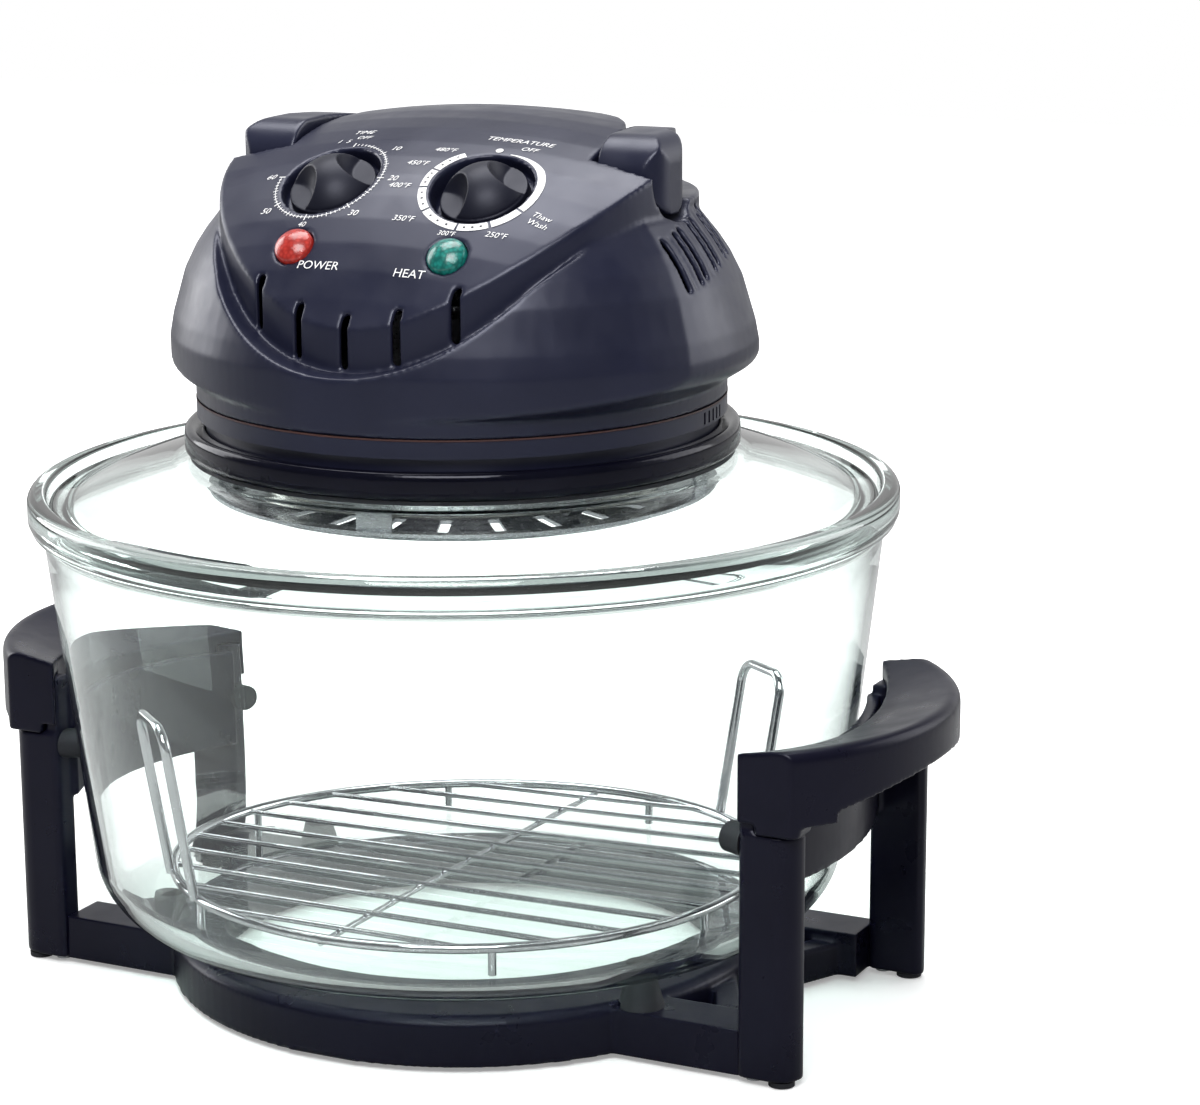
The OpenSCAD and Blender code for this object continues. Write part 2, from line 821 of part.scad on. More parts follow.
// Plan of the bonnet that the handle folds round.
module bonnet_plan(grow) {
    circle(bonnet_r - grow);
    translate([-bonnet_r + grow, -pocket_r - shell_t - 1])
        square([2 * (bonnet_r - grow), pocket_r + shell_t + 1]);
}

// Room for the folded handle: a rebate round the bonnet's rear and a round pocket for each knuckle.
module handle_room(grow) {
    difference() {
        union() {
            translate([0, 0, hinge_z])
                rotate([0, 90, 0])
                    cylinder(r = pocket_r + grow, h = far, center = true);
            translate([-far / 2, 0, rebate_z - grow])
                cube([far, far, 80]);
        }
        translate([0, 0, seam_z])
            linear_extrude(height = far)
                bonnet_plan(grow);
    }
}

module knob_cup(grow) {
    for (sx = [-1, 1])
        on_panel(sx * knob_x, knob_y)
            translate([0, 0, -recess_d - grow])
                cylinder(r = knob_r + knob_gap + grow, h = recess_d + 30);
}

module louvre_cuts() {
    for (sx = [-1, 1], i = [0 : louvres - 1])
        let (y = 2.5 + (i - (louvres - 1) / 2) * louvre_pitch,
             near_r = y > pocket_r + shell_t ? panel_r - 7 : panel_r + 1,
             near = sqrt(pow(near_r, 2) - pow(abs(y) + louvre_w, 2)),
             low = seam_z + louvre_low + (y + 22) * 0.2)
            translate([sx > 0 ? near : -near - 40, y - louvre_w / 2, low])
                cube([40, louvre_w, louvre_h]);
}

module panel_slot_cuts() {
    for (i = [0 : panel_slots - 1])
        let (x = (i - (panel_slots - 1) / 2) * panel_slot_pitch,
             face = sqrt(pow(panel_r, 2) - pow(x, 2)))
            translate([x, -face - 3, crease_at(x) + 1.2]) {
                translate([-panel_slot_w / 2, 0, 0])
                    cube([panel_slot_w, 8, panel_slot_h - panel_slot_w / 2]);
                translate([0, 0, panel_slot_h - panel_slot_w / 2])
                    rotate([-90, 0, 0])
                        cylinder(r = panel_slot_w / 2, h = 8, $fn = wire_fn);
            }
}

module top_cover() {
    color(plastic)
        difference() {
            union() {
                difference() {
                    head_form(0);
                    head_form(shell_t);
                    translate([0, 0, seam_z - 2])
                        cylinder(r = head_r - shell_t, h = 8);
                }
                intersection() {
                    head_form(0);
                    union() {
                        handle_room(shell_t);
                        knob_cup(shell_t);
                    }
                }
            }
            handle_room(0);
            knob_cup(0);
            louvre_cuts();
            panel_slot_cuts();
            for (sx = [-1, 1]) {
                on_panel(sx * knob_x, knob_y)
                    cylinder(r = dial_shaft_r + run_gap, h = 40, center = true);
                on_panel(sx * knob_x, lens_y)
                    cylinder(r = lens_r + part_gap / 2, h = 20, center = true);
                // bores for the hinge pins
                translate([sx * arm_in_x, 0, hinge_z])
                    rotate([0, 90, 0])
                        cylinder(r = hinge_pin_r + still_gap, h = 30, center = true);
            }
            translate([plunger_x, plunger_y, hinge_z - 30])
                cylinder(r = plunger_r + run_gap, h = 30);
            translate([0, end_wall_y - 12, inlet_z])
                rotate([-90, 0, 0])
                    cylinder(r = inlet_r + still_gap, h = 30);
        }
}

// Controls -----------------------------------------------------------------------------------

module lens_form(x) {
    dome_h = 3.2;
    ball_r = (pow(lens_r, 2) + pow(dome_h, 2)) / (2 * dome_h);
    half_angle = asin(lens_r / ball_r);
    on_panel(x, lens_y)
        rotate_extrude()
            polygon(concat(
                [[0, -5], [lens_r, -5]],
                arc_points(0, dome_h - ball_r + 0.8, ball_r, 90 - half_angle, 90, 6)));
}

module power_lens() {
    color([0.75, 0.08, 0.05])
        lens_form(-knob_x);
}

module heat_lens() {
    color([0.02, 0.45, 0.38])
        lens_form(knob_x);
}

module indicator_lamps() {
    color([0.95, 0.7, 0.4])
        for (sx = [-1, 1])
            on_panel(sx * knob_x, lens_y)
                translate([0, 0, -17])
                    cylinder(r = 3, h = 12);
}

module knob_form() {
    base_low = -recess_d + part_gap;
    base_top = base_low + 5;
    crown_r = 19;
    scoop_r = 15;
    difference() {
        union() {
            translate([0, 0, base_low])
                cylinder(r1 = knob_r, r2 = knob_r - 0.5, h = base_top - base_low);
            // grip with a narrow waist and a hollow on either side
            difference() {
                intersection() {
                    translate([0, 0, base_top - 0.5])
                        cylinder(r = knob_r - 1.2, h = knob_grip_h - base_top + 1);
                    translate([0, 0, knob_grip_h - crown_r])
                        sphere(crown_r);
                }
                intersection() {
                    for (sx = [-1, 1])
                        translate([sx * (knob_grip_w / 2 + scoop_r), 0, knob_grip_h])
                            sphere(scoop_r);
                    translate([-knob_r, -knob_r, base_top])
                        cube([2 * knob_r, 2 * knob_r, far]);
                }
            }
        }
        translate([0, 0, -recess_d - 1])
            cylinder(r = dial_shaft_r + still_gap, h = 9);
    }
}

module timer_knob() {
    color(gloss)
        on_panel(-knob_x, knob_y)
            rotate([0, 0, 38])
                knob_form();
}

module temperature_knob() {
    color(gloss)
        on_panel(knob_x, knob_y)
            rotate([0, 0, 38])
                knob_form();
}

module dial_shaft(x) {
    color(steel)
        on_panel(x, knob_y)
            translate([0, 0, -recess_d - shell_t - 12])
                cylinder(r = dial_shaft_r, h = shell_t + 12 + 6);
}

module timer_shaft() {
    dial_shaft(-knob_x);
}

module thermostat_shaft() {
    dial_shaft(knob_x);
}

module timer_body() {
    color([0.8, 0.8, 0.75])
        on_panel(-knob_x, knob_y)
            difference() {
                translate([-17, -17, -recess_d - shell_t - 26])
                    cube([34, 34, 26]);
                translate([0, 0, -recess_d - shell_t - 13])
                    cylinder(r = dial_shaft_r + run_gap, h = 20);
            }
}

module thermostat_body() {
    color([0.85, 0.83, 0.78])
        on_panel(knob_x, knob_y)
            difference() {
                translate([0, 0, -recess_d - shell_t - 24])
                    cylinder(r = 15, h = 24);
                translate([0, 0, -recess_d - shell_t - 13])
                    cylinder(r = dial_shaft_r + run_gap, h = 20);
            }
}

module sensing_bulb() {
    bulb_y = 80;
    color(steel) {
        translate([-12, bulb_y, lamp_z + 10])
            rotate([0, 90, 0])
                cylinder(r = 2.5, h = 24);
        for (sx = [-1, 1])
            translate([sx * 8, bulb_y, lamp_z + 10])
                cylinder(r = 1.2, h = reflector_top_z - sheet_t - lamp_z - 10);
    }
}

// Heater -------------------------------------------------------------------------------------

module screw_ring(r, turn0) {
    for (turn = [turn0 : 90 : turn0 + 270])
        rotate([0, 0, turn])
            translate([r, 0, 0])
                children();
}

module reflector() {
    color([0.8, 0.81, 0.83])
        difference() {
            rotate_extrude()
                polygon([[0, reflector_top_z - sheet_t], [reflector_r - sheet_t, reflector_top_z - sheet_t],
                         [reflector_r - sheet_t, reflector_z], [reflector_rim_r, reflector_z],
                         [reflector_rim_r, reflector_z + sheet_t], [reflector_r, reflector_z + sheet_t],
                         [reflector_r, reflector_top_z], [0, reflector_top_z]]);
            translate([0, 0, reflector_top_z - 5])
                cylinder(r = shaft_r + 2, h = 10);
            screw_ring(post_r, 20)
                translate([0, 0, reflector_top_z - 5])
                    cylinder(r = screw_hole_r, h = 10);
        }
}

module reflector_posts() {
    color(steel)
        screw_ring(post_r, 20)
            difference() {
                translate([0, 0, reflector_top_z])
                    cylinder(r = 4.5, h = plate_z - reflector_top_z);
                translate([0, 0, reflector_top_z - 1])
                    cylinder(r = screw_hole_r, h = plate_z - reflector_top_z + 2);
            }
}

module reflector_screws() {
    color(steel)
        screw_ring(post_r, 20) {
            translate([0, 0, reflector_top_z - sheet_t - screw_head_h])
                cylinder(r = screw_head_r, h = screw_head_h);
            translate([0, 0, reflector_top_z - sheet_t - 1])
                cylinder(r = screw_r, h = plate_top_z - reflector_top_z + sheet_t + 4);
        }
}

module halogen_lamp() {
    gap_angle = 34;
    color([0.95, 0.93, 0.85])
        union() {
            translate([0, 0, lamp_z])
                rotate([0, 0, 90 + gap_angle / 2])
                    rotate_extrude(angle = 360 - gap_angle)
                        translate([lamp_ring_r, 0])
                            circle(lamp_tube_r, $fn = wire_fn);
            for (turn = [-1, 1])
                rotate([0, 0, 90 + turn * (gap_angle / 2 + 5)])
                    translate([lamp_ring_r, 0, lamp_z])
                        cylinder(r = lamp_end_r, h = 8, $fn = wire_fn);
        }
}

module lamp_holders() {
    holder = [11, 11];
    low_z = lamp_z + 8;
    color([0.93, 0.91, 0.86])
        for (turn = [-22, 22])
            rotate([0, 0, 90 + turn])
                translate([lamp_ring_r - holder[0] / 2 + 0.5, -holder[1] / 2, low_z])
                    cube([holder[0], holder[1], reflector_top_z - sheet_t - low_z]);
}

module lamp_clips() {
    color(steel)
        for (turn = [-30, 210])
            rotate([0, 0, turn]) {
                translate([lamp_ring_r, 3, lamp_z])
                    rotate([90, 0, 0])
                        difference() {
                            cylinder(r = lamp_tube_r + 1.3, h = 6);
                            translate([0, 0, -1])
                                cylinder(r = lamp_tube_r + still_gap, h = 8);
                        }
                translate([lamp_ring_r - 0.6, -3, lamp_z + lamp_tube_r + 0.6])
                    cube([1.2, 6, reflector_top_z - sheet_t - lamp_z - lamp_tube_r - 0.6]);
            }
}

module guard_pattern() {
    for (ring = [1 : guard_hole_rings], i = [0 : 6 * ring - 1])
        rotate(i * 60 / ring)
            translate([ring * 11.5, 0])
                circle(2.3);
    for (i = [0 : guard_slots - 1])
        rotate((i + 0.5) * 360 / guard_slots)
            translate([67, -2.2])
                square([17, 4.4]);
}

module heater_guard() {
    dish_r = guard_r - 8;
    color([0.82, 0.83, 0.85]) {
        translate([0, 0, guard_z])
            linear_extrude(height = sheet_t)
                difference() {
                    circle(dish_r);
                    guard_pattern();
                    for (i = [0 : 59])
                        rotate(i * 6)
                            translate([58, 0])
                                circle(1.5);
                }
        rotate_extrude()
            polygon([[dish_r - 1, guard_z], [dish_r, guard_z], [guard_r - 3, guard_lip_z - sheet_t],
                     [guard_r, guard_lip_z - sheet_t], [guard_r, guard_lip_z], [guard_r - 4, guard_lip_z],
                     [dish_r - 1, guard_z + sheet_t]]);
    }
}

module guard_brackets() {
    strap_w = 14;
    at_r = reflector_rim_r - 2.5;
    color([0.78, 0.79, 0.81])
        for (turn = [8, 98, 188, 278])
            rotate([0, 0, turn])
                translate([at_r, -strap_w / 2, guard_lip_z])
                    cube([sheet_t, strap_w, reflector_z - guard_lip_z]);
}

// Plate, motor and fans ----------------------------------------------------------------------

module motor_plate() {
    color(steel)
        difference() {
            translate([0, 0, plate_z])
                cylinder(r = plate_r, h = plate_t);
            translate([0, 0, plate_z - 1])
                cylinder(r = shaft_r + 2, h = 5);
            screw_ring(post_r, 20)
                translate([0, 0, plate_z - 1])
                    cylinder(r = screw_hole_r, h = 5);
            screw_ring(ledge_in_r + 2.6, 45)
                translate([0, 0, plate_z - 1])
                    cylinder(r = screw_hole_r, h = 5);
            for (turn = [0 : 30 : 330])
                rotate([0, 0, turn + 10])
                    translate([40, -3, plate_z - 1])
                        cube([14, 6, 5]);
        }
}

module plate_screws() {
    color(steel)
        screw_ring(ledge_in_r + 2.6, 45) {
            translate([0, 0, plate_top_z])
                cylinder(r = 3, h = screw_head_h);
            translate([0, 0, seam_z - 6])
                cylinder(r = screw_r, h = 6 + plate_t + 1);
        }
}

module motor() {
    color([0.55, 0.56, 0.58])
        difference() {
            union() {
                translate([0, 0, motor_z])
                    cylinder(r = motor_r, h = motor_h);
                for (turn = [0, 120, 240])
                    rotate([0, 0, turn])
                        translate([motor_r - 6, 0, plate_top_z])
                            cylinder(r = 4, h = motor_z - plate_top_z + 1);
            }
            translate([0, 0, motor_z - 1])
                cylinder(r = shaft_r + run_gap, h = motor_h + 2);
        }
}

module motor_shaft() {
    color(steel)
        translate([0, 0, shaft_low_z])
            cylinder(r = shaft_r, h = shaft_top_z - shaft_low_z);
}

module fan(r, hub_r, hub_h, blade_h, pitch) {
    difference() {
        union() {
            cylinder(r = hub_r, h = hub_h);
            for (i = [0 : fan_blades - 1])
                rotate([0, 0, i * 360 / fan_blades])
                    translate([hub_r - 2, 0, hub_h / 2])
                        rotate([pitch, 0, 0])
                            translate([0, -0.6, -blade_h / 2])
                                cube([r - hub_r + 1, 1.2, blade_h]);
        }
        translate([0, 0, -1])
            cylinder(r = shaft_r + still_gap, h = hub_h + 2);
    }
}

module convection_fan() {
    color([0.7, 0.71, 0.73])
        translate([0, 0, shaft_low_z + 1])
            fan(fan_r, 8, 10, fan_h, 25);
}

module cooling_fan() {
    color([0.15, 0.15, 0.16])
        translate([0, 0, motor_top_z + 2])
            fan(cooler_r, 8, 8, 7, 40);
}

// Electrical pieces --------------------------------------------------------------------------

module thermal_cutout() {
    color([0.2, 0.2, 0.22])
        translate([-56, 44, plate_top_z])
            cylinder(r = 9, h = 6);
}

module terminal_block() {
    color([0.92, 0.92, 0.9])
        difference() {
            translate([-18, 62, plate_top_z])
                cube([36, 14, 13]);
            for (i = [-1 : 1])
                translate([i * 11, 60, plate_top_z + 7])
                    rotate([-90, 0, 0])
                        cylinder(r = 2, h = 8);
        }
}

module cord_inlet() {
    wall_in_y = end_wall_y - shell_t - 1.5;
    wall_out_y = end_wall_y + 0.2;
    bore_r = 4;
    color(gloss)
        translate([0, 0, inlet_z])
            rotate([-90, 0, 0])
                difference() {
                    union() {
                        translate([0, 0, wall_in_y - 8])
                            cylinder(r = inlet_r, h = wall_out_y - wall_in_y + 9);
                        translate([0, 0, wall_out_y])
                            cylinder(r1 = inlet_r + 2.5, r2 = inlet_r + 0.5, h = 5);
                        translate([0, 0, wall_in_y - 8])
                            cylinder(r = inlet_r + 2, h = 7);
                    }
                    translate([0, 0, wall_in_y - 10])
                        cylinder(r = bore_r, h = 30);
                }
}

// Carry handle and its safety switch ---------------------------------------------------------

module handle_pins() {
    color(steel)
        for (sx = [-1, 1])
            translate([sx * (arm_in_x + 3), 0, hinge_z])
                rotate([0, 90, 0])
                    cylinder(r = hinge_pin_r, h = 26, center = true);
}

// Side view of the folded handle, y to the rear: it crests just behind the knuckles and dips to the rear.
module handle_side() {
    top_r = 150;
    dip_r = 60;
    turn = 18;
    crest = [12, hinge_z + knuckle_r + 0.2];
    dip = [crest[0] + (top_r + dip_r) * sin(turn), crest[1] - top_r + (top_r + dip_r) * cos(turn)];
    translate([0, hinge_z])
        circle(knuckle_r);
    polygon(concat(
        [[0, arm_low_z], [handle_out_r + 1, arm_low_z], [handle_out_r + 1, dip[1] - dip_r]],
        arc_points(dip[0], dip[1], dip_r, 270, 270 - turn, 5),
        arc_points(crest[0], crest[1] - top_r, top_r, 90 - turn, 90, 8),
        [[0, hinge_z + knuckle_r]]));
}

// Plan of the handle: a half ring behind the bonnet and a knuckle with round corners at either end.
module handle_plan() {
    corner_r = 12;
    difference() {
        circle(handle_out_r);
        circle(handle_in_r);
        translate([-far / 2, -far])
            square([far, far]);
    }
    for (sx = [-1, 1]) {
        translate([sx > 0 ? arm_in_x : -handle_half_w + corner_r, -knuckle_r - 1])
            square([arm_w - corner_r, 2 * knuckle_r + 2]);
        translate([sx > 0 ? arm_in_x : -handle_half_w, -knuckle_r - 1 + corner_r])
            square([arm_w, 2 * (knuckle_r + 1 - corner_r)]);
        for (sy = [-1, 1])
            translate([sx * (handle_half_w - corner_r), sy * (knuckle_r + 1 - corner_r)])
                circle(corner_r);
    }
}

// Front view of the handle, with round upper corners.
module handle_front() {
    round_r = 10;
    top = hinge_z + knuckle_r + 0.3;
    side = handle_half_w;
    polygon(concat(
        [[-side, hinge_z - 60], [side, hinge_z - 60]],
        arc_points(side - round_r, top - round_r, round_r, 0, 90, 6),
        arc_points(-side + round_r, top - round_r, round_r, 90, 180, 6)));
}

module carry_handle() {
    color(plastic)
        difference() {
            intersection() {
                rotate([90, 0, 90])
                    linear_extrude(height = far, center = true)
                        handle_side();
                translate([0, far / 2, 0])
                    rotate([90, 0, 0])
                        linear_extrude(height = far)
                            handle_front();
                linear_extrude(height = far)
                    handle_plan();
            }
            for (sx = [-1, 1])
                translate([sx * (arm_in_x - 1), 0, hinge_z])
                    rotate([0, sx * 90, 0])
                        cylinder(r = hinge_pin_r + run_gap, h = 18);
        }
}

module switch_plunger() {
    color([0.8, 0.1, 0.1])
        translate([plunger_x, plunger_y, arm_low_z - soft_gap - plunger_len])
            cylinder(r = plunger_r, h = plunger_len);
}

module safety_switch() {
    top_z = arm_low_z - soft_gap - plunger_len - 1;
    color([0.1, 0.1, 0.12])
        difference() {
            translate([plunger_x - switch_size[0] / 2, plunger_y - switch_size[1] / 2,
                       top_z - switch_size[2] + 4])
                cube(switch_size);
            translate([plunger_x, plunger_y, top_z - 3])
                cylinder(r = plunger_r + run_gap, h = 10);
        }
}

stand_base();
left_leg_frame();
right_leg_frame();
left_grip();
right_grip();
bowl_pads();
side_bumpers();
rubber_feet();
stand_screws();
glass_bowl();
wire_rack();
rack_handles();
glass_lid();
lid_seal();
flange_ring();
lower_housing();
top_cover();
power_lens();
heat_lens();
indicator_lamps();
timer_body();
thermostat_body();
sensing_bulb();
motor_plate();
plate_screws();
motor();
reflector();
reflector_posts();
reflector_screws();
halogen_lamp();
lamp_holders();
lamp_clips();
heater_guard();
guard_brackets();
safety_switch();
thermal_cutout();
terminal_block();
cord_inlet();
handle_pins();
carry_handle();
switch_plunger();
motor_shaft();
convection_fan();
cooling_fan();
timer_knob();
timer_shaft();
temperature_knob();
thermostat_shaft();
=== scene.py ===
"""Looks of the countertop halogen oven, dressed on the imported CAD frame. Lengths are written in
millimetres and turned into metres by MM, while texture scales are per metre. Angles are written in
degrees. Z is up, and the head's front is -Y."""

import json
import math

import bmesh
import bpy
from mathutils import Matrix, Vector
from mathutils.bvhtree import BVHTree

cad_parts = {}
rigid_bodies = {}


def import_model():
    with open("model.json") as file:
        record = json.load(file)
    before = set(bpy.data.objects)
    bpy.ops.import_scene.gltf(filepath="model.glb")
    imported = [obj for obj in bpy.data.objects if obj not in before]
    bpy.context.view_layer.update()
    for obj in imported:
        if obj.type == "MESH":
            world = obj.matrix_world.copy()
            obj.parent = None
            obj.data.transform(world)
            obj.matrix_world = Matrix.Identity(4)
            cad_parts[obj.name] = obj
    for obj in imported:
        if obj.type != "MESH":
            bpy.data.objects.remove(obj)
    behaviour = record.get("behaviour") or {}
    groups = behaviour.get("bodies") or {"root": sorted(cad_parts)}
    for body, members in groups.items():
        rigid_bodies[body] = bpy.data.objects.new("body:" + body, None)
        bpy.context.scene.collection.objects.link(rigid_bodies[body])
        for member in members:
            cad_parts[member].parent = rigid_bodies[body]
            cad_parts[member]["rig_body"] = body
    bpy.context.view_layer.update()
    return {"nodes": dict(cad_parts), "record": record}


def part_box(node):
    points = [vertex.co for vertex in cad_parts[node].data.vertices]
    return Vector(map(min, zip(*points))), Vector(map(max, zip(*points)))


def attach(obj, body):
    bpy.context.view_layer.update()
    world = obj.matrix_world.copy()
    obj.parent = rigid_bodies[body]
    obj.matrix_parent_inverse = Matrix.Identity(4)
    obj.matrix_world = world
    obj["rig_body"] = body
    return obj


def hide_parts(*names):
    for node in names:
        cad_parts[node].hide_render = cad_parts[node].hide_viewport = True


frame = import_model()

MM = 0.001
NODES = frame["nodes"]
SUBPARTS = frame["record"]["subparts"]

# --------------------------------------------------------------------------------------------
# Sizes of the CAD part that the dressing follows
# --------------------------------------------------------------------------------------------

# Bowl
RIM_R = 172.0  # outermost radius of the rolled rim
RIM_TOP_Z = 204.0
RIM_H = 14.0  # height of the rim band
WALL_TOP_R = 166.0  # outer radius of the wall just under the rim
WALL_TOP_Z = RIM_TOP_Z - RIM_H - 4
WALL_TAPER = 18.0  # how much narrower the wall is at the floor
BOWL_Z = 32.0  # underside of the bowl
WALL_ANGLE = math.degrees(math.atan(WALL_TAPER / (WALL_TOP_Z - BOWL_Z)))
CORNER_R = 26.0  # outer rounding between floor and wall
CORNER_X = 124.9  # radius at which that rounding is centred
CORNER_Z = BOWL_Z + CORNER_R
GLASS_T = 5.0
GLASS_SWELL = 2.0  # extra thickness of the wall under the rim

# Seat in the rim, and the lid that lies on it
SEAT_Z = RIM_TOP_Z - 12
SEAT_OUT_R = RIM_R - 7.7
SEAT_IN_R = SEAT_OUT_R - 4.5
LID_R = SEAT_OUT_R - 0.8
LID_EDGE_T = 8.0  # thickness of the lid's edge
LID_TOP_Z = SEAT_Z + 24
LID_HOLE_R = 93.0
LID_FLAT_R = 110.0  # outer radius of the flat that the head is clamped to

# Head
SEAM_Z = 239.5  # joint between the vented ring and the cover
SEAM_LOW_Z = SEAM_Z - 0.3
SEAM_HIGH_Z = SEAM_Z + 0.35
SEAM_IN_R = 104.1
SEAM_OUT_R = 104.42
PANEL_TOP_Z = 347.5
PANEL_ARC_R = 140.0  # crown of the panel from front to rear
PANEL_CROSS_R = 390.0  # crown of the panel from side to side
PANEL_CREST_Y = 28.0
KNOB_X = 32.5
KNOB_Y = -43.5
LENS_Y = -72.0
LENS_R = 7.6

# --------------------------------------------------------------------------------------------
# Mesh helpers
# --------------------------------------------------------------------------------------------
RELAX = 0.5  # how far each smoothing round moves a corner of a moulded copy


def link(name, mesh, body, material):
    """New piece of the scene that rides on a body of the frame."""
    piece = bpy.data.objects.new(name, mesh)
    bpy.context.scene.collection.objects.link(piece)
    mesh.materials.clear()
    mesh.materials.append(material)
    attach(piece, body)
    return piece


def smooth(mesh, angle):
    """Smooth shading that keeps edges sharper than the angle."""
    for face in mesh.polygons:
        face.use_smooth = True
    sharp = mesh.attributes.get("sharp_edge") or mesh.attributes.new("sharp_edge", "BOOLEAN", "EDGE")
    edit = bmesh.new()
    edit.from_mesh(mesh)
    limit = math.radians(angle)
    flags = [e.is_manifold and e.calc_face_angle(0) > limit for e in edit.edges]
    edit.free()
    sharp.data.foreach_set("value", flags)


def arc(cx, cz, r, start, end, steps):
    """Points of a profile on an arc."""
    turns = [math.radians(start + (end - start) * i / steps) for i in range(steps + 1)]
    return [(cx + r * math.cos(t), cz + r * math.sin(t)) for t in turns]


def bow(a, b, c, steps):
    """Points of a profile on a quadratic curve from a to c, pulled towards b."""
    out = []
    for i in range(steps + 1):
        t = i / steps
        out.append(tuple((1 - t) ** 2 * a[k] + 2 * t * (1 - t) * b[k] + t * t * c[k] for k in (0, 1)))
    return out


def revolve(name, profile, segments=160):
    """Closed profile of (radius, z) turned about Z. Each point on the axis becomes one corner."""
    mesh = bpy.data.meshes.new(name)
    edit = bmesh.new()
    turns = [2 * math.pi * i / segments for i in range(segments)]
    rings = []
    for r, z in profile:
        if r == 0:
            rings.append([edit.verts.new((0, 0, z * MM))])
        else:
            places = [(r * math.cos(t) * MM, r * math.sin(t) * MM, z * MM) for t in turns]
            rings.append([edit.verts.new(place) for place in places])
    for k, ring in enumerate(rings):
        after = rings[(k + 1) % len(rings)]
        if len(ring) == 1 and len(after) == 1:
            continue
        for i in range(segments):
            j = (i + 1) % segments
            if len(ring) == 1:
                edit.faces.new((ring[0], after[j], after[i]))
            elif len(after) == 1:
                edit.faces.new((ring[i], ring[j], after[0]))
            else:
                edit.faces.new((ring[i], ring[j], after[j], after[i]))
    bmesh.ops.recalc_face_normals(edit, faces=edit.faces)
    edit.to_mesh(mesh)
    edit.free()
    return mesh


def evaluated(piece):
    """The piece's mesh with its modifiers applied."""
    graph = bpy.context.evaluated_depsgraph_get()
    return bpy.data.meshes.new_from_object(piece.evaluated_get(graph))


def moulded(node, material, voxel, rounds, keep):
    """Copy of a CAD node with its edges rounded as a moulding tool leaves them. It stands for the node."""
    source = NODES[node]
    draft = bpy.data.objects.new(node + "_draft", source.data.copy())
    bpy.context.scene.collection.objects.link(draft)
    remesh = draft.modifiers.new("remesh", "REMESH")
    remesh.mode = "VOXEL"
    remesh.voxel_size = voxel * MM
    relax = draft.modifiers.new("relax", "SMOOTH")
    relax.factor = RELAX
    relax.iterations = rounds
    lighter = draft.modifiers.new("lighter", "DECIMATE")
    lighter.ratio = keep
    mesh = evaluated(draft)
    bpy.data.objects.remove(draft)
    node_low, node_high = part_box(node)
    for v in mesh.vertices:
        v.co = [min(max(c, a), b) for c, a, b in zip(v.co, node_low, node_high)]
    for face in mesh.polygons:
        face.use_smooth = True
    mesh.name = node + "_moulded"
    piece = link(node + "_moulded", mesh, source["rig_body"], material)
    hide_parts(node)
    return piece


# --------------------------------------------------------------------------------------------
# Shader helpers
# --------------------------------------------------------------------------------------------


def add(tree, kind, inputs=None, **settings):
    """New node of a tree, with constants on its own sockets."""
    node = tree.nodes.new(kind)
    for name, value in settings.items():
        setattr(node, name, value)
    for name, value in (inputs or {}).items():
        node.inputs[name].default_value = value
    return node


def new_material(name):
    """Empty material with its node tree and output."""
    material = bpy.data.materials.new(name)
    material.use_nodes = True
    tree = material.node_tree
    tree.nodes.clear()
    return material, tree, add(tree, "ShaderNodeOutputMaterial")


def principled(tree, out, inputs):
    """Principled shader that makes the whole surface."""
    shader = add(tree, "ShaderNodeBsdfPrincipled", inputs)
    tree.links.new(shader.outputs["BSDF"], out.inputs["Surface"])
    return shader


def joined(tree, kind, first, second, **settings):
    """Node whose first two sockets are fed by two others."""
    node = add(tree, kind, **settings)
    tree.links.new(first, node.inputs[0])
    tree.links.new(second, node.inputs[1])
    return node.outputs[0]


def mixed(tree, factor, first, second):
    """The first shader where the factor is 0, and the second where it is 1."""
    node = add(tree, "ShaderNodeMixShader")
    tree.links.new(factor, node.inputs["Fac"])
    tree.links.new(first, node.inputs[1])
    tree.links.new(second, node.inputs[2])
    return node.outputs[0]


def noise(tree, scale, detail, rough=0.55, stretch=None):
    """Noise in the object's own coordinates."""
    source = add(tree, "ShaderNodeTexCoord").outputs["Object"]
    if stretch:
        mapping = add(tree, "ShaderNodeMapping", {"Scale": stretch})
        tree.links.new(source, mapping.inputs["Vector"])
        source = mapping.outputs["Vector"]
    texture = add(tree, "ShaderNodeTexNoise", {"Scale": scale, "Detail": detail, "Roughness": rough})
    tree.links.new(source, texture.inputs["Vector"])
    return texture.outputs["Fac"]


def ranged(tree, source, low, high, first=0.35, last=0.65):
    """Value that goes from low to high while the source goes from first to last."""
    limits = {"From Min": first, "From Max": last, "To Min": low, "To Max": high}
    node = add(tree, "ShaderNodeMapRange", limits)
    tree.links.new(source, node.inputs["Value"])
    return node.outputs["Result"]


def bumped(tree, sources, target):
    """Chains bumps, each a source, a strength and a distance, into the shader's normal."""
    last = None
    for source, strength, distance in sources:
        node = add(tree, "ShaderNodeBump", {"Strength": strength, "Distance": distance * MM})
        tree.links.new(source, node.inputs["Height"])
        if last:
            tree.links.new(last, node.inputs["Normal"])
        last = node.outputs["Normal"]
    tree.links.new(last, target)


def tinted(tree, source, dark, light, target, first=0.35, last=0.65):
    """Colour that goes from dark to light while the source goes from first to last."""
    ramp = add(tree, "ShaderNodeValToRGB")
    for stop, position, colour in zip(ramp.color_ramp.elements, (first, last), (dark, light)):
        stop.position = position
        stop.color = (*colour, 1)
    tree.links.new(source, ramp.inputs["Fac"])
    tree.links.new(ramp.outputs["Color"], target)


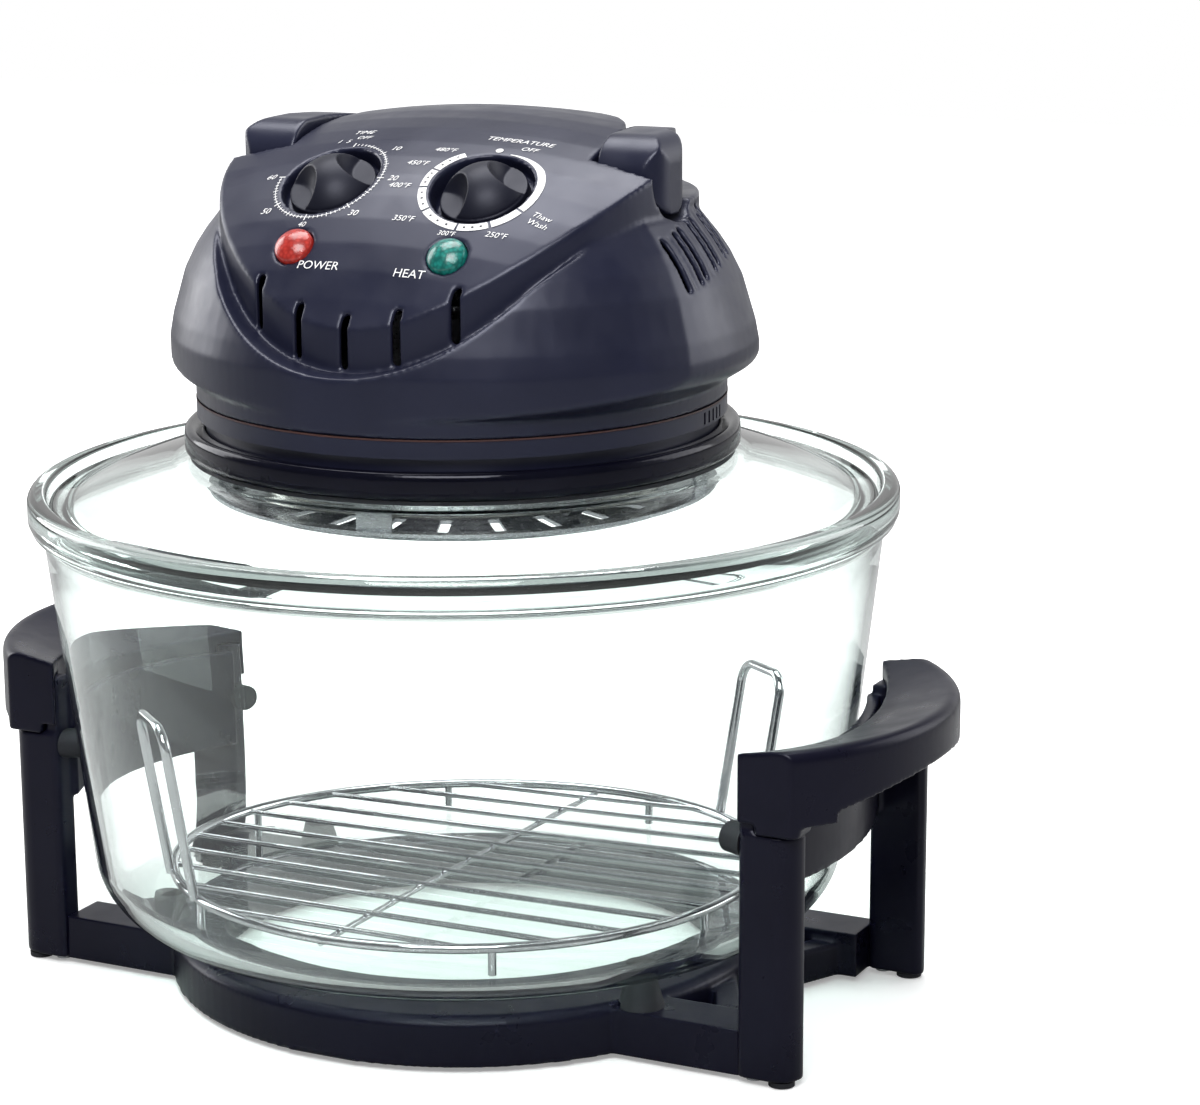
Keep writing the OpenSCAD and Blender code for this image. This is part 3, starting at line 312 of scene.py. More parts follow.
# --------------------------------------------------------------------------------------------
# Materials
# --------------------------------------------------------------------------------------------
COOL_SHEEN = (0.84, 0.86, 1, 1)  # tint of the highlights on plastic
GLASS_IOR = 1.47
LENS_IOR = 1.49
GLASS_SHADOW = (0.94, 0.97, 0.96, 1)  # light that a glass wall lets through to what it shades
WORN = 0.72  # how bright worn ink is beside fresh ink


def plastic(name, dark, light, rough, grain, coat=0.0, grain_scale=1900, shine=0.5):
    """Moulded plastic: fine spark grain, cloudy roughness and slight colour variation."""
    material, tree, out = new_material(name)
    finish = {
        "Coat Weight": coat,
        "Coat Roughness": 0.12,
        "Specular IOR Level": shine,
        "Specular Tint": COOL_SHEEN,
    }
    shader = principled(tree, out, finish)
    tinted(tree, noise(tree, 18, 5), dark, light, shader.inputs["Base Color"])
    tree.links.new(ranged(tree, noise(tree, 55, 6), *rough), shader.inputs["Roughness"])
    fine_grain = (noise(tree, grain_scale, 2), grain, 0.12)
    slow_waves = (noise(tree, 22, 2), 0.05, 0.5)
    bumped(tree, [fine_grain, slow_waves], shader.inputs["Normal"])
    return material


def metal(name, dark, light, rough, stretch=None, scale=260, bump=0.06):
    """Sheet or turned metal with fine marks, along one direction where they are stretched."""
    material, tree, out = new_material(name)
    shader = principled(tree, out, {"Metallic": 1.0})
    marks = noise(tree, scale, 5, 0.6, stretch)
    tinted(tree, noise(tree, 30, 4), dark, light, shader.inputs["Base Color"])
    tree.links.new(ranged(tree, marks, *rough), shader.inputs["Roughness"])
    fine_marks = (marks, bump, 0.08)
    slow_waves = (noise(tree, 35, 2), 0.08, 0.6)
    bumped(tree, [fine_marks, slow_waves], shader.inputs["Normal"])
    return material


def glass(name, tint, edge, density, rough=0.0):
    """Pressed clear glass: faint waves in its faces, colour in its depth, light passing as shadow."""
    material, tree, out = new_material(name)
    body = {"Base Color": (*tint, 1), "Transmission Weight": 1.0, "Roughness": rough, "IOR": GLASS_IOR}
    shader = add(tree, "ShaderNodeBsdfPrincipled", body)
    long_waves = (noise(tree, 9, 2), 0.05, 1.2)
    short_waves = (noise(tree, 60, 3), 0.012, 0.4)
    bumped(tree, [long_waves, short_waves], shader.inputs["Normal"])
    clear = add(tree, "ShaderNodeBsdfTransparent", {"Color": GLASS_SHADOW})
    ray = add(tree, "ShaderNodeLightPath")
    face = mixed(tree, ray.outputs["Is Shadow Ray"], shader.outputs["BSDF"], clear.outputs["BSDF"])
    tree.links.new(face, out.inputs["Surface"])
    depth = add(tree, "ShaderNodeVolumeAbsorption", {"Color": (*edge, 1), "Density": density})
    tree.links.new(depth.outputs["Volume"], out.inputs["Volume"])
    return material


def lens_material(name, deep, bright, glow):
    """Coloured lens with a cast cell pattern behind a glossy face. Its bright colour also shines as a faint
    painted glow.
    """
    material, tree, out = new_material(name)
    finish = {
        "Roughness": 0.3,
        "Coat Weight": 0.45,
        "Coat Roughness": 0.12,
        "IOR": LENS_IOR,
        # painted glow: the lens gives off a little light of its own in its bright colour
        "Emission Color": (*bright, 1),
        "Emission Strength": glow,
    }
    shader = principled(tree, out, finish)
    place = add(tree, "ShaderNodeTexCoord")
    cells = add(tree, "ShaderNodeTexVoronoi", {"Scale": 640})
    tree.links.new(place.outputs["Object"], cells.inputs["Vector"])
    tinted(tree, cells.outputs["Distance"], bright, deep, shader.inputs["Base Color"], 0.05, 0.75)
    bumped(tree, [(cells.outputs["Distance"], 0.35, 0.25)], shader.inputs["Normal"])
    return material


def print_material(name, colour):
    """Pad-printed ink, slightly worn."""
    material, tree, out = new_material(name)
    shader = principled(tree, out, {"Roughness": 0.5})
    worn = tuple(c * WORN for c in colour)
    tinted(tree, noise(tree, 900, 3), worn, colour, shader.inputs["Base Color"], 0.25, 0.5)
    bumped(tree, [(noise(tree, 1500, 2), 0.05, 0.05)], shader.inputs["Normal"])
    return material


# Each plastic and metal: its darkest and lightest colour, its range of roughness, then its grain.
HEAD = plastic("head_plastic", (0.0085, 0.0097, 0.0235), (0.0122, 0.0136, 0.0315), (0.3, 0.4), 0.08)
STAND = plastic(
    "stand_plastic", (0.0028, 0.0026, 0.0088), (0.0048, 0.0045, 0.0125), (0.26, 0.36), 0.05, shine=0.22
)
KNOB = plastic("knob_plastic", (0.0045, 0.005, 0.011), (0.0075, 0.008, 0.016), (0.42, 0.52), 0.05, shine=0.32)
GLOSS = plastic(
    "gloss_black", (0.002, 0.002, 0.006), (0.004, 0.004, 0.0095), (0.1, 0.18), 0.02, coat=0.05, shine=0.2
)
INNER = plastic("inner_plastic", (0.02, 0.02, 0.02), (0.035, 0.035, 0.035), (0.5, 0.65), 0.1)
CERAMIC = plastic("white_ceramic", (0.6, 0.58, 0.52), (0.72, 0.7, 0.64), (0.45, 0.6), 0.1)
RUBBER = plastic("rubber", (0.008, 0.008, 0.009), (0.016, 0.016, 0.017), (0.6, 0.75), 0.2, grain_scale=900)
SEAM = plastic("seam_brown", (0.045, 0.018, 0.014), (0.07, 0.028, 0.02), (0.4, 0.5), 0.05)
STEEL = metal("zinc_steel", (0.42, 0.43, 0.45), (0.56, 0.57, 0.59), (0.26, 0.42), (1, 1, 6))
CHROME = metal("chrome_wire", (0.6, 0.6, 0.62), (0.78, 0.78, 0.8), (0.05, 0.12), scale=400, bump=0.03)
ALUMINIUM = metal(
    "bright_aluminium", (0.62, 0.63, 0.66), (0.78, 0.79, 0.81), (0.16, 0.3), (1, 1, 5), scale=300
)
# Glass: the tint of its faces, the colour of its depth and how fast that colour builds up.
CLEAR = glass("clear_glass", (0.985, 0.998, 0.992), (0.42, 0.72, 0.64), 16.0)
QUARTZ = glass("quartz", (0.98, 0.97, 0.93), (0.95, 0.93, 0.85), 3.0, rough=0.12)
# glow: strength of each lens's painted glow
RED = lens_material("red_lens", (0.27, 0.012, 0.008), (0.5, 0.04, 0.028), glow=0.1)
GREEN = lens_material("green_lens", (0.0, 0.085, 0.072), (0.01, 0.24, 0.2), glow=0.08)
WHITE_INK = print_material("white_ink", (0.82, 0.82, 0.82))
DARK_INK = print_material("dark_ink", (0.02, 0.02, 0.03))

SLOT_MATERIALS = {
    "stand_plastic": STAND,
    "head_plastic": HEAD,
    "gloss_black": GLOSS,
    "knob_plastic": KNOB,
    "inner_plastic": INNER,
    "white_plastic": CERAMIC,
    "rubber": RUBBER,
    "clear_glass": CLEAR,
    "lamp_glass": QUARTZ,
    "red_lens": RED,
    "green_lens": GREEN,
    "chrome_wire": CHROME,
    "bright_aluminium": ALUMINIUM,
    "zinc_steel": STEEL,
}

for subpart in SUBPARTS:
    for material_slot in NODES[subpart["node"]].material_slots:
        material_slot.material = SLOT_MATERIALS[subpart["material_slot"]]

# --------------------------------------------------------------------------------------------
# Stand
# --------------------------------------------------------------------------------------------
for side in ("left", "right"):
    moulded(side + "_leg_frame", STAND, voxel=0.9, rounds=5, keep=0.4)
for side in ("left", "right"):
    moulded(side + "_grip", STAND, voxel=0.8, rounds=7, keep=0.4)
moulded("stand_base", STAND, voxel=1.0, rounds=5, keep=0.4)

# --------------------------------------------------------------------------------------------
# Bowl and lid
# --------------------------------------------------------------------------------------------
NECK_PULL = 0.6  # outward pull of the curve between wall and rim
ROLL_IN = 1.2  # how far inside RIM_R that curve meets the rim
ROLL_LOW_R = 3.2  # rounding of the rim's lower edge
ROLL_LOW_Z = RIM_TOP_Z - 9.5
ROLL_TOP_R = 3.5  # rounding of the rim's outer top edge
LIP_R = 2.0  # rounding from the rim's top into the seat
SEAT_FILLET = 0.8  # rounding at the foot of the seat's wall
SEAT_NOSE = 1.2  # rounding of the seat's inner edge
NOSE_OUT = 0.8  # how far outside SEAT_IN_R that rounding is centred
SWELL_Z = WALL_TOP_Z - 6  # heights at which the inside leaves the seat and joins the plain wall
PLAIN_Z = WALL_TOP_Z - 22
PLAIN_IN = 1.2  # how much nearer to the axis the plain wall starts
LID_RING = 6.0  # width of the lid's thick edge
LID_EDGE_LOW = 1.2  # rounding of the lid's lower edge
LID_EDGE_TOP = 2.4  # rounding of the lid's upper edge
TOP_PULL_Z = LID_TOP_Z - 5.5  # height that pulls the dome's top into a curve
UNDER_PULL_Z = LID_TOP_Z - 11  # and its underside
GLASS_SHARP = 50  # edges of glass that turn more than this stay sharp


def bowl_profile():
    """Outline of the bowl: floor, corner, leaning wall, rolled rim, seat and the inside down again."""
    rim_low_z = RIM_TOP_Z - RIM_H + 1
    outside = [(0, BOWL_Z)] + arc(CORNER_X, CORNER_Z, CORNER_R, -90, -WALL_ANGLE, 14)
    neck_pull = (WALL_TOP_R + NECK_PULL, rim_low_z - 1)
    rim = (
        bow((WALL_TOP_R, WALL_TOP_Z), neck_pull, (RIM_R - ROLL_IN, rim_low_z), 6)
        + arc(RIM_R - ROLL_LOW_R, ROLL_LOW_Z, ROLL_LOW_R, -50, 0, 5)
        + arc(RIM_R - ROLL_TOP_R, RIM_TOP_Z - ROLL_TOP_R, ROLL_TOP_R, 0, 90, 8)
        + arc(SEAT_OUT_R + LIP_R, RIM_TOP_Z - LIP_R, LIP_R, 90, 180, 6)
        + [(SEAT_OUT_R, SEAT_Z + 1)]
        + arc(SEAT_OUT_R - SEAT_FILLET, SEAT_Z + SEAT_FILLET, SEAT_FILLET, 0, -90, 3)
    )
    nose = arc(SEAT_IN_R + NOSE_OUT, SEAT_Z - SEAT_NOSE, SEAT_NOSE, 90, 180, 4)
    swollen_r = WALL_TOP_R - GLASS_T - GLASS_SWELL
    inside = [(SEAT_IN_R + 1, SEAT_Z)] + nose + [(swollen_r, SWELL_Z), (swollen_r - PLAIN_IN, PLAIN_Z)]
    floor = arc(CORNER_X, CORNER_Z, CORNER_R - GLASS_T, -WALL_ANGLE, -90, 14) + [(0, BOWL_Z + GLASS_T)]
    return outside + rim + inside + floor


def lid_profile():
    """Outline of the domed lid: thick edge, top up to the flat, hole and underside back again."""
    ring_r = LID_R - LID_RING
    middle_r = (ring_r + LID_FLAT_R) / 2
    low_z = LID_TOP_Z - GLASS_T
    edge = (
        [(ring_r - 3, SEAT_Z), (LID_R - LID_EDGE_LOW, SEAT_Z)]
        + arc(LID_R - LID_EDGE_LOW, SEAT_Z + LID_EDGE_LOW, LID_EDGE_LOW, -90, 0, 4)
        + arc(LID_R - LID_EDGE_TOP, SEAT_Z + LID_EDGE_T - LID_EDGE_TOP, LID_EDGE_TOP, 0, 90, 6)
    )
    top_pull = (middle_r + 1, TOP_PULL_Z)
    top = bow((ring_r, SEAT_Z + LID_EDGE_T), top_pull, (LID_FLAT_R + 1, LID_TOP_Z - 0.2), 12)
    hole = [(LID_HOLE_R, LID_TOP_Z), (LID_HOLE_R, low_z)]
    under = bow((LID_FLAT_R, low_z), (middle_r, UNDER_PULL_Z), (ring_r - 2, SEAT_Z + 3), 12)
    return edge + top + hole + under


def glass_piece(node, profile, body):
    """Turned glass that stands for a CAD node."""
    mesh = revolve(node + "_clear", profile)
    smooth(mesh, GLASS_SHARP)
    piece = link(node + "_clear", mesh, body, CLEAR)
    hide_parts(node)


glass_piece("glass_bowl", bowl_profile(), "bowl")
glass_piece("glass_lid", lid_profile(), "head")

# --------------------------------------------------------------------------------------------
# Head casings, handle and knobs
# --------------------------------------------------------------------------------------------
cover = moulded("top_cover", HEAD, voxel=0.9, rounds=6, keep=0.45)
moulded("carry_handle", HEAD, voxel=0.8, rounds=7, keep=0.4)
for knob in ("timer_knob", "temperature_knob"):
    moulded(knob, KNOB, voxel=0.35, rounds=7, keep=0.4)
moulded("flange_ring", GLOSS, voxel=0.8, rounds=2, keep=0.4)

# --------------------------------------------------------------------------------------------
# Printing on the panel
# --------------------------------------------------------------------------------------------
WHITE_LIFT = 0.22  # height of the white print over the cover
DOT_LIFT = 0.3  # height of the dark dots, which lie on the white print
DROP_FROM = 12.0  # height over the ideal panel from which print drops onto the cover
DROP_REACH = 40.0  # how far it looks for the cover
LETTER_STEPS = 3  # steps of each curve of a letter


def panel_frame(x, y):
    """Centre on the ideal panel above x, y, with the right, up-the-panel and outward directions."""
    tilt = math.asin((PANEL_CREST_Y - y) / PANEL_ARC_R)
    crown = PANEL_CROSS_R - PANEL_ARC_R + math.sqrt(PANEL_ARC_R**2 - (y - PANEL_CREST_Y) ** 2)
    return (
        Vector((x, y, PANEL_TOP_Z - PANEL_CROSS_R + math.sqrt(crown**2 - x * x))),
        Vector((1, 0, 0)),
        Vector((0, math.cos(tilt), math.sin(tilt))),
        Vector((0, -math.sin(tilt), math.cos(tilt))),
    )


def polar(reach, angle):
    """Local place on the panel at a distance and an angle from the frame's centre."""
    return reach * math.cos(math.radians(angle)), reach * math.sin(math.radians(angle))


cover_tree = BVHTree.FromPolygons(
    [v.co / MM for v in cover.data.vertices], [face.vertices for face in cover.data.polygons]
)


class Print:
    """Printed shapes of one ink. Places are local to a panel frame, named at, and shapes run
    counterclockwise, so that their faces look outwards."""

    def __init__(self, lift):
        self.lift = lift
        self.draft = bmesh.new()

    def corner(self, local, at):
        """New corner on the cover's real surface, or on the ideal panel where the cover is open."""
        centre, right, up, out = at
        start = centre + right * local[0] + up * local[1] + out * DROP_FROM
        hit = cover_tree.ray_cast(start, -out, DROP_REACH)[0]
        point = start - out * DROP_FROM if hit is None else hit
        return self.draft.verts.new((point + out * self.lift) * MM)

    def stamp(self, outline, at):
        """One flat shape."""
        self.draft.faces.new([self.corner(local, at) for local in outline])

    def band(self, r, width, start, end, at, steps, taper=1.0):
        """Part of a ring outside radius r. taper scales the width at the end."""
        for i in range(steps):
            a = start + (end - start) * i / steps
            b = start + (end - start) * (i + 1) / steps
            width_a = width * (1 + (taper - 1) * i / steps)
            width_b = width * (1 + (taper - 1) * (i + 1) / steps)
            self.stamp([polar(r, a), polar(r + width_a, a), polar(r + width_b, b), polar(r, b)], at)

    def tick(self, r, length, angle, width, at):
        """Short bar that points away from the centre, with its middle at radius r."""
        along = Vector(polar(1, angle))
        side = Vector((-along.y, along.x)) * width / 2
        near = along * (r - length / 2)
        far = along * (r + length / 2)
        self.stamp([near - side, far - side, far + side, near + side], at)

    def dot(self, centre, r, at, sides=12):
        """Small filled circle."""
        edge = [Vector(centre) + Vector(polar(r, 360 * i / sides)) for i in range(sides)]
        for i in range(sides):
            self.stamp([centre, edge[i], edge[(i + 1) % sides]], at)

    def words(self, text, size, place, at, lean=0.0, turn=0.0):
        """Lettering centred at a place, slanted by lean and turned as a whole."""
        curve = bpy.data.curves.new("lettering", "FONT")
        curve.body = text
        curve.size = size
        curve.align_x = "CENTER"
        curve.align_y = "CENTER"
        curve.shear = lean
        curve.resolution_u = LETTER_STEPS
        draft = bpy.data.objects.new("lettering", curve)
        bpy.context.scene.collection.objects.link(draft)
        bpy.context.view_layer.update()
        mesh = evaluated(draft)
        bpy.data.objects.remove(draft)
        right, up = Vector(polar(1, turn)), Vector(polar(1, turn + 90))
        corners = [self.corner(Vector(place) + right * v.co.x + up * v.co.y, at) for v in mesh.vertices]
        for face in mesh.polygons:
            self.draft.faces.new([corners[i] for i in face.vertices])
        bpy.data.meshes.remove(mesh)

    def finish(self, name, material):
        """Turns the shapes into one piece on the head."""
        mesh = bpy.data.meshes.new(name)
        self.draft.to_mesh(mesh)
        self.draft.free()
        link(name, mesh, "head", material)


TIMER_AT = panel_frame(-KNOB_X, KNOB_Y)
TIMER_R = 22.3
TIMER_LINE = 0.25  # width of the line through the ticks
TIMER_LINE_END = 75  # angle at which that line ends
MINUTES = 60
TIMER_SWEEP = 274.0  # angle from 0 to 60 minutes
TIMER_START = 91.0  # angle of 0 minutes
TICK_OUT = 0.15  # distance of the ticks' middles outside radius TIMER_R
LONG_TICK = (2.9, 0.45)  # length and width of the tick at every 10 minutes
HALF_TICK = (2.2, 0.35)  # at every 5 minutes
SHORT_TICK = (1.4, 0.35)
NUMBER = (4.1, 5.4)  # height of a number and its distance from the line
TIGHT_MINUTE = 40  # the number that stands right over a lens
TIGHT_NUMBER = (3.3, 3.7)
TIMER_LEAN = 0.25
TIMER_WORDS = (
    ("TIME", 4.2, (-2, 33.5)),
    ("OFF", 3.6, (0.5, 28.6)),
    ("1", 3.6, (-9, 25.6)),
    ("5", 3.6, (-4.9, 25.6)),
)


def minute_angle(minute):
    """Angle of a minute, which runs clockwise."""
    return TIMER_START - TIMER_SWEEP * minute / MINUTES


def print_timer(ink):
    """Minute scale round the timer knob, with its numbers and words."""
    ink.band(TIMER_R, TIMER_LINE, minute_angle(MINUTES), TIMER_LINE_END, TIMER_AT, 60)
    for minute in range(MINUTES + 1):
        length, width = LONG_TICK if minute % 10 == 0 else HALF_TICK if minute % 5 == 0 else SHORT_TICK
        ink.tick(TIMER_R + TICK_OUT, length, minute_angle(minute), width, TIMER_AT)
    for minute in range(10, MINUTES + 1, 10):
        size, out = TIGHT_NUMBER if minute == TIGHT_MINUTE else NUMBER
        ink.words(str(minute), size, polar(TIMER_R + out, minute_angle(minute)), TIMER_AT, TIMER_LEAN)
    for text, size, place in TIMER_WORDS:
        ink.words(text, size, place, TIMER_AT, TIMER_LEAN)


DIAL_AT = panel_frame(KNOB_X, KNOB_Y)
DIAL_R = 21.2
DIAL_W = 3.2
DIAL_LEAN = 0.2
STOP_GAP = 1.2  # half the gap in the ring at each stop
# Temperature in degrees Fahrenheit, its stop on the ring, then its label's angle, distance and height.
STOPS = (
    (480, 128, 140, 7.2, 3.8),
    (450, 163, 162, 8.6, 3.8),
    (400, 190, 187, 8.6, 3.8),
    (350, 224, 222, 7.4, 3.8),
    (300, 268, 262, 2.2, 3.0),
    (250, 300, 303, 4.6, 3.6),
)
STOP_ANGLES = [stop[1] for stop in STOPS]
STOP_ARCS = list(zip(STOP_ANGLES, STOP_ANGLES[1:]))
THAW_ARC = (301.5, 331)  # angles of the ring's part for thawing
WASH_ARC = (333.5, 395)  # and of its part for washing, which narrows
WASH_TAPER = 0.9
TAIL_END = 443  # angle at which the ring's thin tail ends
TAIL_TAPER = 0.12
OFF_DOT = polar(DIAL_R + 2.2, 97)
OFF_DOT_R = 1.5
DIAL_WORDS = (
    ("Thaw", 3.7, (29.5, -12.2), -14),
    ("Wash", 3.7, (29.0, -16.0), -14),
    ("TEMPERATURE", 4.2, (1.5, 32.0), 0),
    ("OFF", 3.9, (8.0, 26.4), 0),
)


def print_dial(ink):
    """Broken ring round the temperature knob with its tapering tail, dot, labels and words."""
    for first, last in STOP_ARCS:
        ink.band(DIAL_R, DIAL_W, first + STOP_GAP, last - STOP_GAP, DIAL_AT, 10)
    ink.band(DIAL_R, DIAL_W, *THAW_ARC, DIAL_AT, 10)
    ink.band(DIAL_R, DIAL_W, *WASH_ARC, DIAL_AT, 20, WASH_TAPER)
    ink.band(DIAL_R, DIAL_W * WASH_TAPER, WASH_ARC[1], TAIL_END, DIAL_AT, 16, TAIL_TAPER)
    ink.dot(OFF_DOT, OFF_DOT_R, DIAL_AT)
    for degrees, _, angle, out, size in STOPS:
        ink.words(f"{degrees}°F", size, polar(DIAL_R + DIAL_W + out, angle), DIAL_AT, DIAL_LEAN)
    for text, size, place, turn in DIAL_WORDS:
        ink.words(text, size, place, DIAL_AT, DIAL_LEAN, turn)


DOT_W = 0.9  # length and width of a dot
DOT_SHARES = (0.25, 0.5, 0.75)  # places of the dots between two stops


def print_dots(ink):
    """Dark dots on the white ring, three between each two stops."""
    for first, last in STOP_ARCS:
        for share in DOT_SHARES:
            angle = first + (last - first) * share
            ink.tick(DIAL_R + DIAL_W / 2, DOT_W, angle, DOT_W, DIAL_AT)


POWER_AT = panel_frame(-KNOB_X, LENS_Y)
HEAT_AT = panel_frame(KNOB_X, LENS_Y)
LENS_WORD = 5.2  # height of the words beside the lenses

white = Print(WHITE_LIFT)
print_timer(white)
print_dial(white)
white.words("POWER", LENS_WORD, (14, -8.5), POWER_AT)
white.words("HEAT", LENS_WORD, (-12, -9.5), HEAT_AT)
white.finish("panel_marks", WHITE_INK)

dots = Print(DOT_LIFT)
print_dots(dots)
dots.finish("dial_dots", DARK_INK)

# --------------------------------------------------------------------------------------------
# Lenses
# --------------------------------------------------------------------------------------------
LENS_RISE = 3.2  # height of the dome over its edge
LENS_EDGE = 0.7  # height of that edge over the panel
LENS_SKIRT_TOP = 0.4  # height of the skirt's straight wall over the panel
LENS_DEPTH = 4.5  # how deep the skirt goes under the panel
LENS_SHARP = 40  # edges of a lens that turn more than this stay sharp


def lens(node, at, material):
    """Domed lens with a skirt that sits in the panel. It stands for the CAD node."""
    ball = (LENS_R**2 + LENS_RISE**2) / (2 * LENS_RISE)
    half = math.degrees(math.asin(LENS_R / ball))
    skirt = [(0, -LENS_DEPTH), (LENS_R, -LENS_DEPTH), (LENS_R, LENS_SKIRT_TOP)]
    dome = arc(0, LENS_RISE - ball + LENS_EDGE, ball, 90 - half, 90, 14)[1:-1]
    crown = (0, LENS_RISE + LENS_EDGE)
    mesh = revolve(node + "_dome", skirt + dome + [crown], 64)
    centre, right, up, out = at
    turn = Matrix((right, up, out)).transposed().to_4x4()
    mesh.transform(Matrix.Translation(centre * MM) @ turn)
    smooth(mesh, LENS_SHARP)
    piece = link(node + "_dome", mesh, "head", material)
    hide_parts(node)


lens("power_lens", POWER_AT, RED)
lens("heat_lens", HEAT_AT, GREEN)

# Thin brown line in the joint between the cover and the vented ring.
seam_profile = [
    (SEAM_IN_R, SEAM_LOW_Z),
    (SEAM_OUT_R, SEAM_LOW_Z),
    (SEAM_OUT_R, SEAM_HIGH_Z),
    (SEAM_IN_R, SEAM_HIGH_Z),
]
link("seam_line", revolve("seam_line", seam_profile), "head", SEAM)

# --------------------------------------------------------------------------------------------
# Floor and world
# --------------------------------------------------------------------------------------------
FLOOR_HALF = 3000.0
FLOOR_DROP = 0.4  # how far the floor lies under the feet
FLOOR_WHITE = 0.86  # the floor where it is looked at
FLOOR_DIM = 0.42  # the floor in reflections
NEAR_GLOW = 0.3  # the floor's own glow under the object
FAR_GLOW = 1.0  # and beyond the reach of the lamps
GLOW_START = 300.0  # distances from the middle between which the glow grows
GLOW_END = 750.0

WHITE = (1.0, 1.0, 1.0)
OVERHEAD = (0.9, 0.95, 1.0)
OVERHEAD_LEVEL = 0.35
OVERHEAD_BAND = (0.15, 0.6)  # heights of a direction between which white turns to OVERHEAD
ROOM = (0.9, 0.93, 1.0)
ROOM_LEVEL = 0.14
BACKDROP_LEVEL = 0.8
BACKDROP_REAR = (0.0, 0.6)  # how far to the rear a direction points where the backdrop grows
BACKDROP_TOP = (0.3, 0.7)  # heights between which it fades


def looked_at(tree):
    """1 for a ray from the camera, also straight through glass, and 0 once it was mirrored."""
    ray = add(tree, "ShaderNodeLightPath")
    straight = add(tree, "ShaderNodeMath", operation="LESS_THAN")
    tree.links.new(ray.outputs["Glossy Depth"], straight.inputs[0])
    straight.inputs[1].default_value = 0.5
    passed = ray.outputs["Is Transmission Ray"]
    through = joined(tree, "ShaderNodeMath", passed, straight.outputs[0], operation="MULTIPLY")
    return joined(tree, "ShaderNodeMath", ray.outputs["Is Camera Ray"], through, operation="MAXIMUM")


def floor_material():
    """White where it is looked at, also beyond the lamps' reach, and duller in reflections."""
    material, tree, out = new_material("floor")
    seen = looked_at(tree)
    diffuse = add(tree, "ShaderNodeBsdfDiffuse")
    tinted(tree, seen, (FLOOR_DIM,) * 3, (FLOOR_WHITE,) * 3, diffuse.inputs["Color"], 0.0, 1.0)
    place = add(tree, "ShaderNodeTexCoord")
    away = add(tree, "ShaderNodeVectorMath", operation="LENGTH")
    tree.links.new(place.outputs["Object"], away.inputs[0])
    glow = ranged(tree, away.outputs["Value"], NEAR_GLOW, FAR_GLOW, GLOW_START * MM, GLOW_END * MM)
    level = joined(tree, "ShaderNodeMath", glow, seen, operation="MULTIPLY")
    shine = add(tree, "ShaderNodeEmission", {"Color": (*WHITE, 1)})
    tree.links.new(level, shine.inputs["Strength"])
    total = joined(tree, "ShaderNodeAddShader", diffuse.outputs["BSDF"], shine.outputs["Emission"])
    tree.links.new(total, out.inputs["Surface"])
    return material


def add_floor():
    """Plain pale floor just under the feet."""
    half = FLOOR_HALF * MM
    corners = [(-half, -half, 0), (half, -half, 0), (half, half, 0), (-half, half, 0)]
    mesh = bpy.data.meshes.new("floor")
    mesh.from_pydata(corners, [], [(0, 1, 2, 3)])
    mesh.materials.append(floor_material())
    floor = bpy.data.objects.new("floor", mesh)
    bpy.context.scene.collection.objects.link(floor)
    floor.location.z = -FLOOR_DROP * MM


def sky(tree, colour, strength):
    """Plain background of one colour."""
    return add(tree, "ShaderNodeBackground", {"Color": (*colour, 1), "Strength": strength}).outputs[0]


def add_world():
    """White where it is looked at, darker overhead behind glass, and dim for the light it gives,
    but for a low bright backdrop at the rear."""
    world = bpy.data.worlds.new("studio")
    bpy.context.scene.world = world
    world.use_nodes = True
    tree = world.node_tree
    tree.nodes.clear()
    split = add(tree, "ShaderNodeSeparateXYZ")
    tree.links.new(add(tree, "ShaderNodeTexCoord").outputs["Generated"], split.inputs[0])
    overhead = ranged(tree, split.outputs["Z"], 0.0, 1.0, *OVERHEAD_BAND)
    behind_glass = mixed(tree, overhead, sky(tree, WHITE, 1.0), sky(tree, OVERHEAD, OVERHEAD_LEVEL))
    rear = ranged(tree, split.outputs["Y"], 0.0, 1.0, *BACKDROP_REAR)
    low = ranged(tree, split.outputs["Z"], 1.0, 0.0, *BACKDROP_TOP)
    backdrop = joined(tree, "ShaderNodeMath", rear, low, operation="MULTIPLY")
    given = mixed(tree, backdrop, sky(tree, ROOM, ROOM_LEVEL), sky(tree, WHITE, BACKDROP_LEVEL))
    scattered = mixed(tree, looked_at(tree), given, behind_glass)
    ray = add(tree, "ShaderNodeLightPath")
    everything = mixed(tree, ray.outputs["Is Camera Ray"], scattered, sky(tree, WHITE, 1.0))
    tree.links.new(everything, add(tree, "ShaderNodeOutputWorld").inputs["Surface"])


add_floor()
add_world()

# --------------------------------------------------------------------------------------------
# Lamps
# --------------------------------------------------------------------------------------------
LIT_POINT = (0, 0, 250)


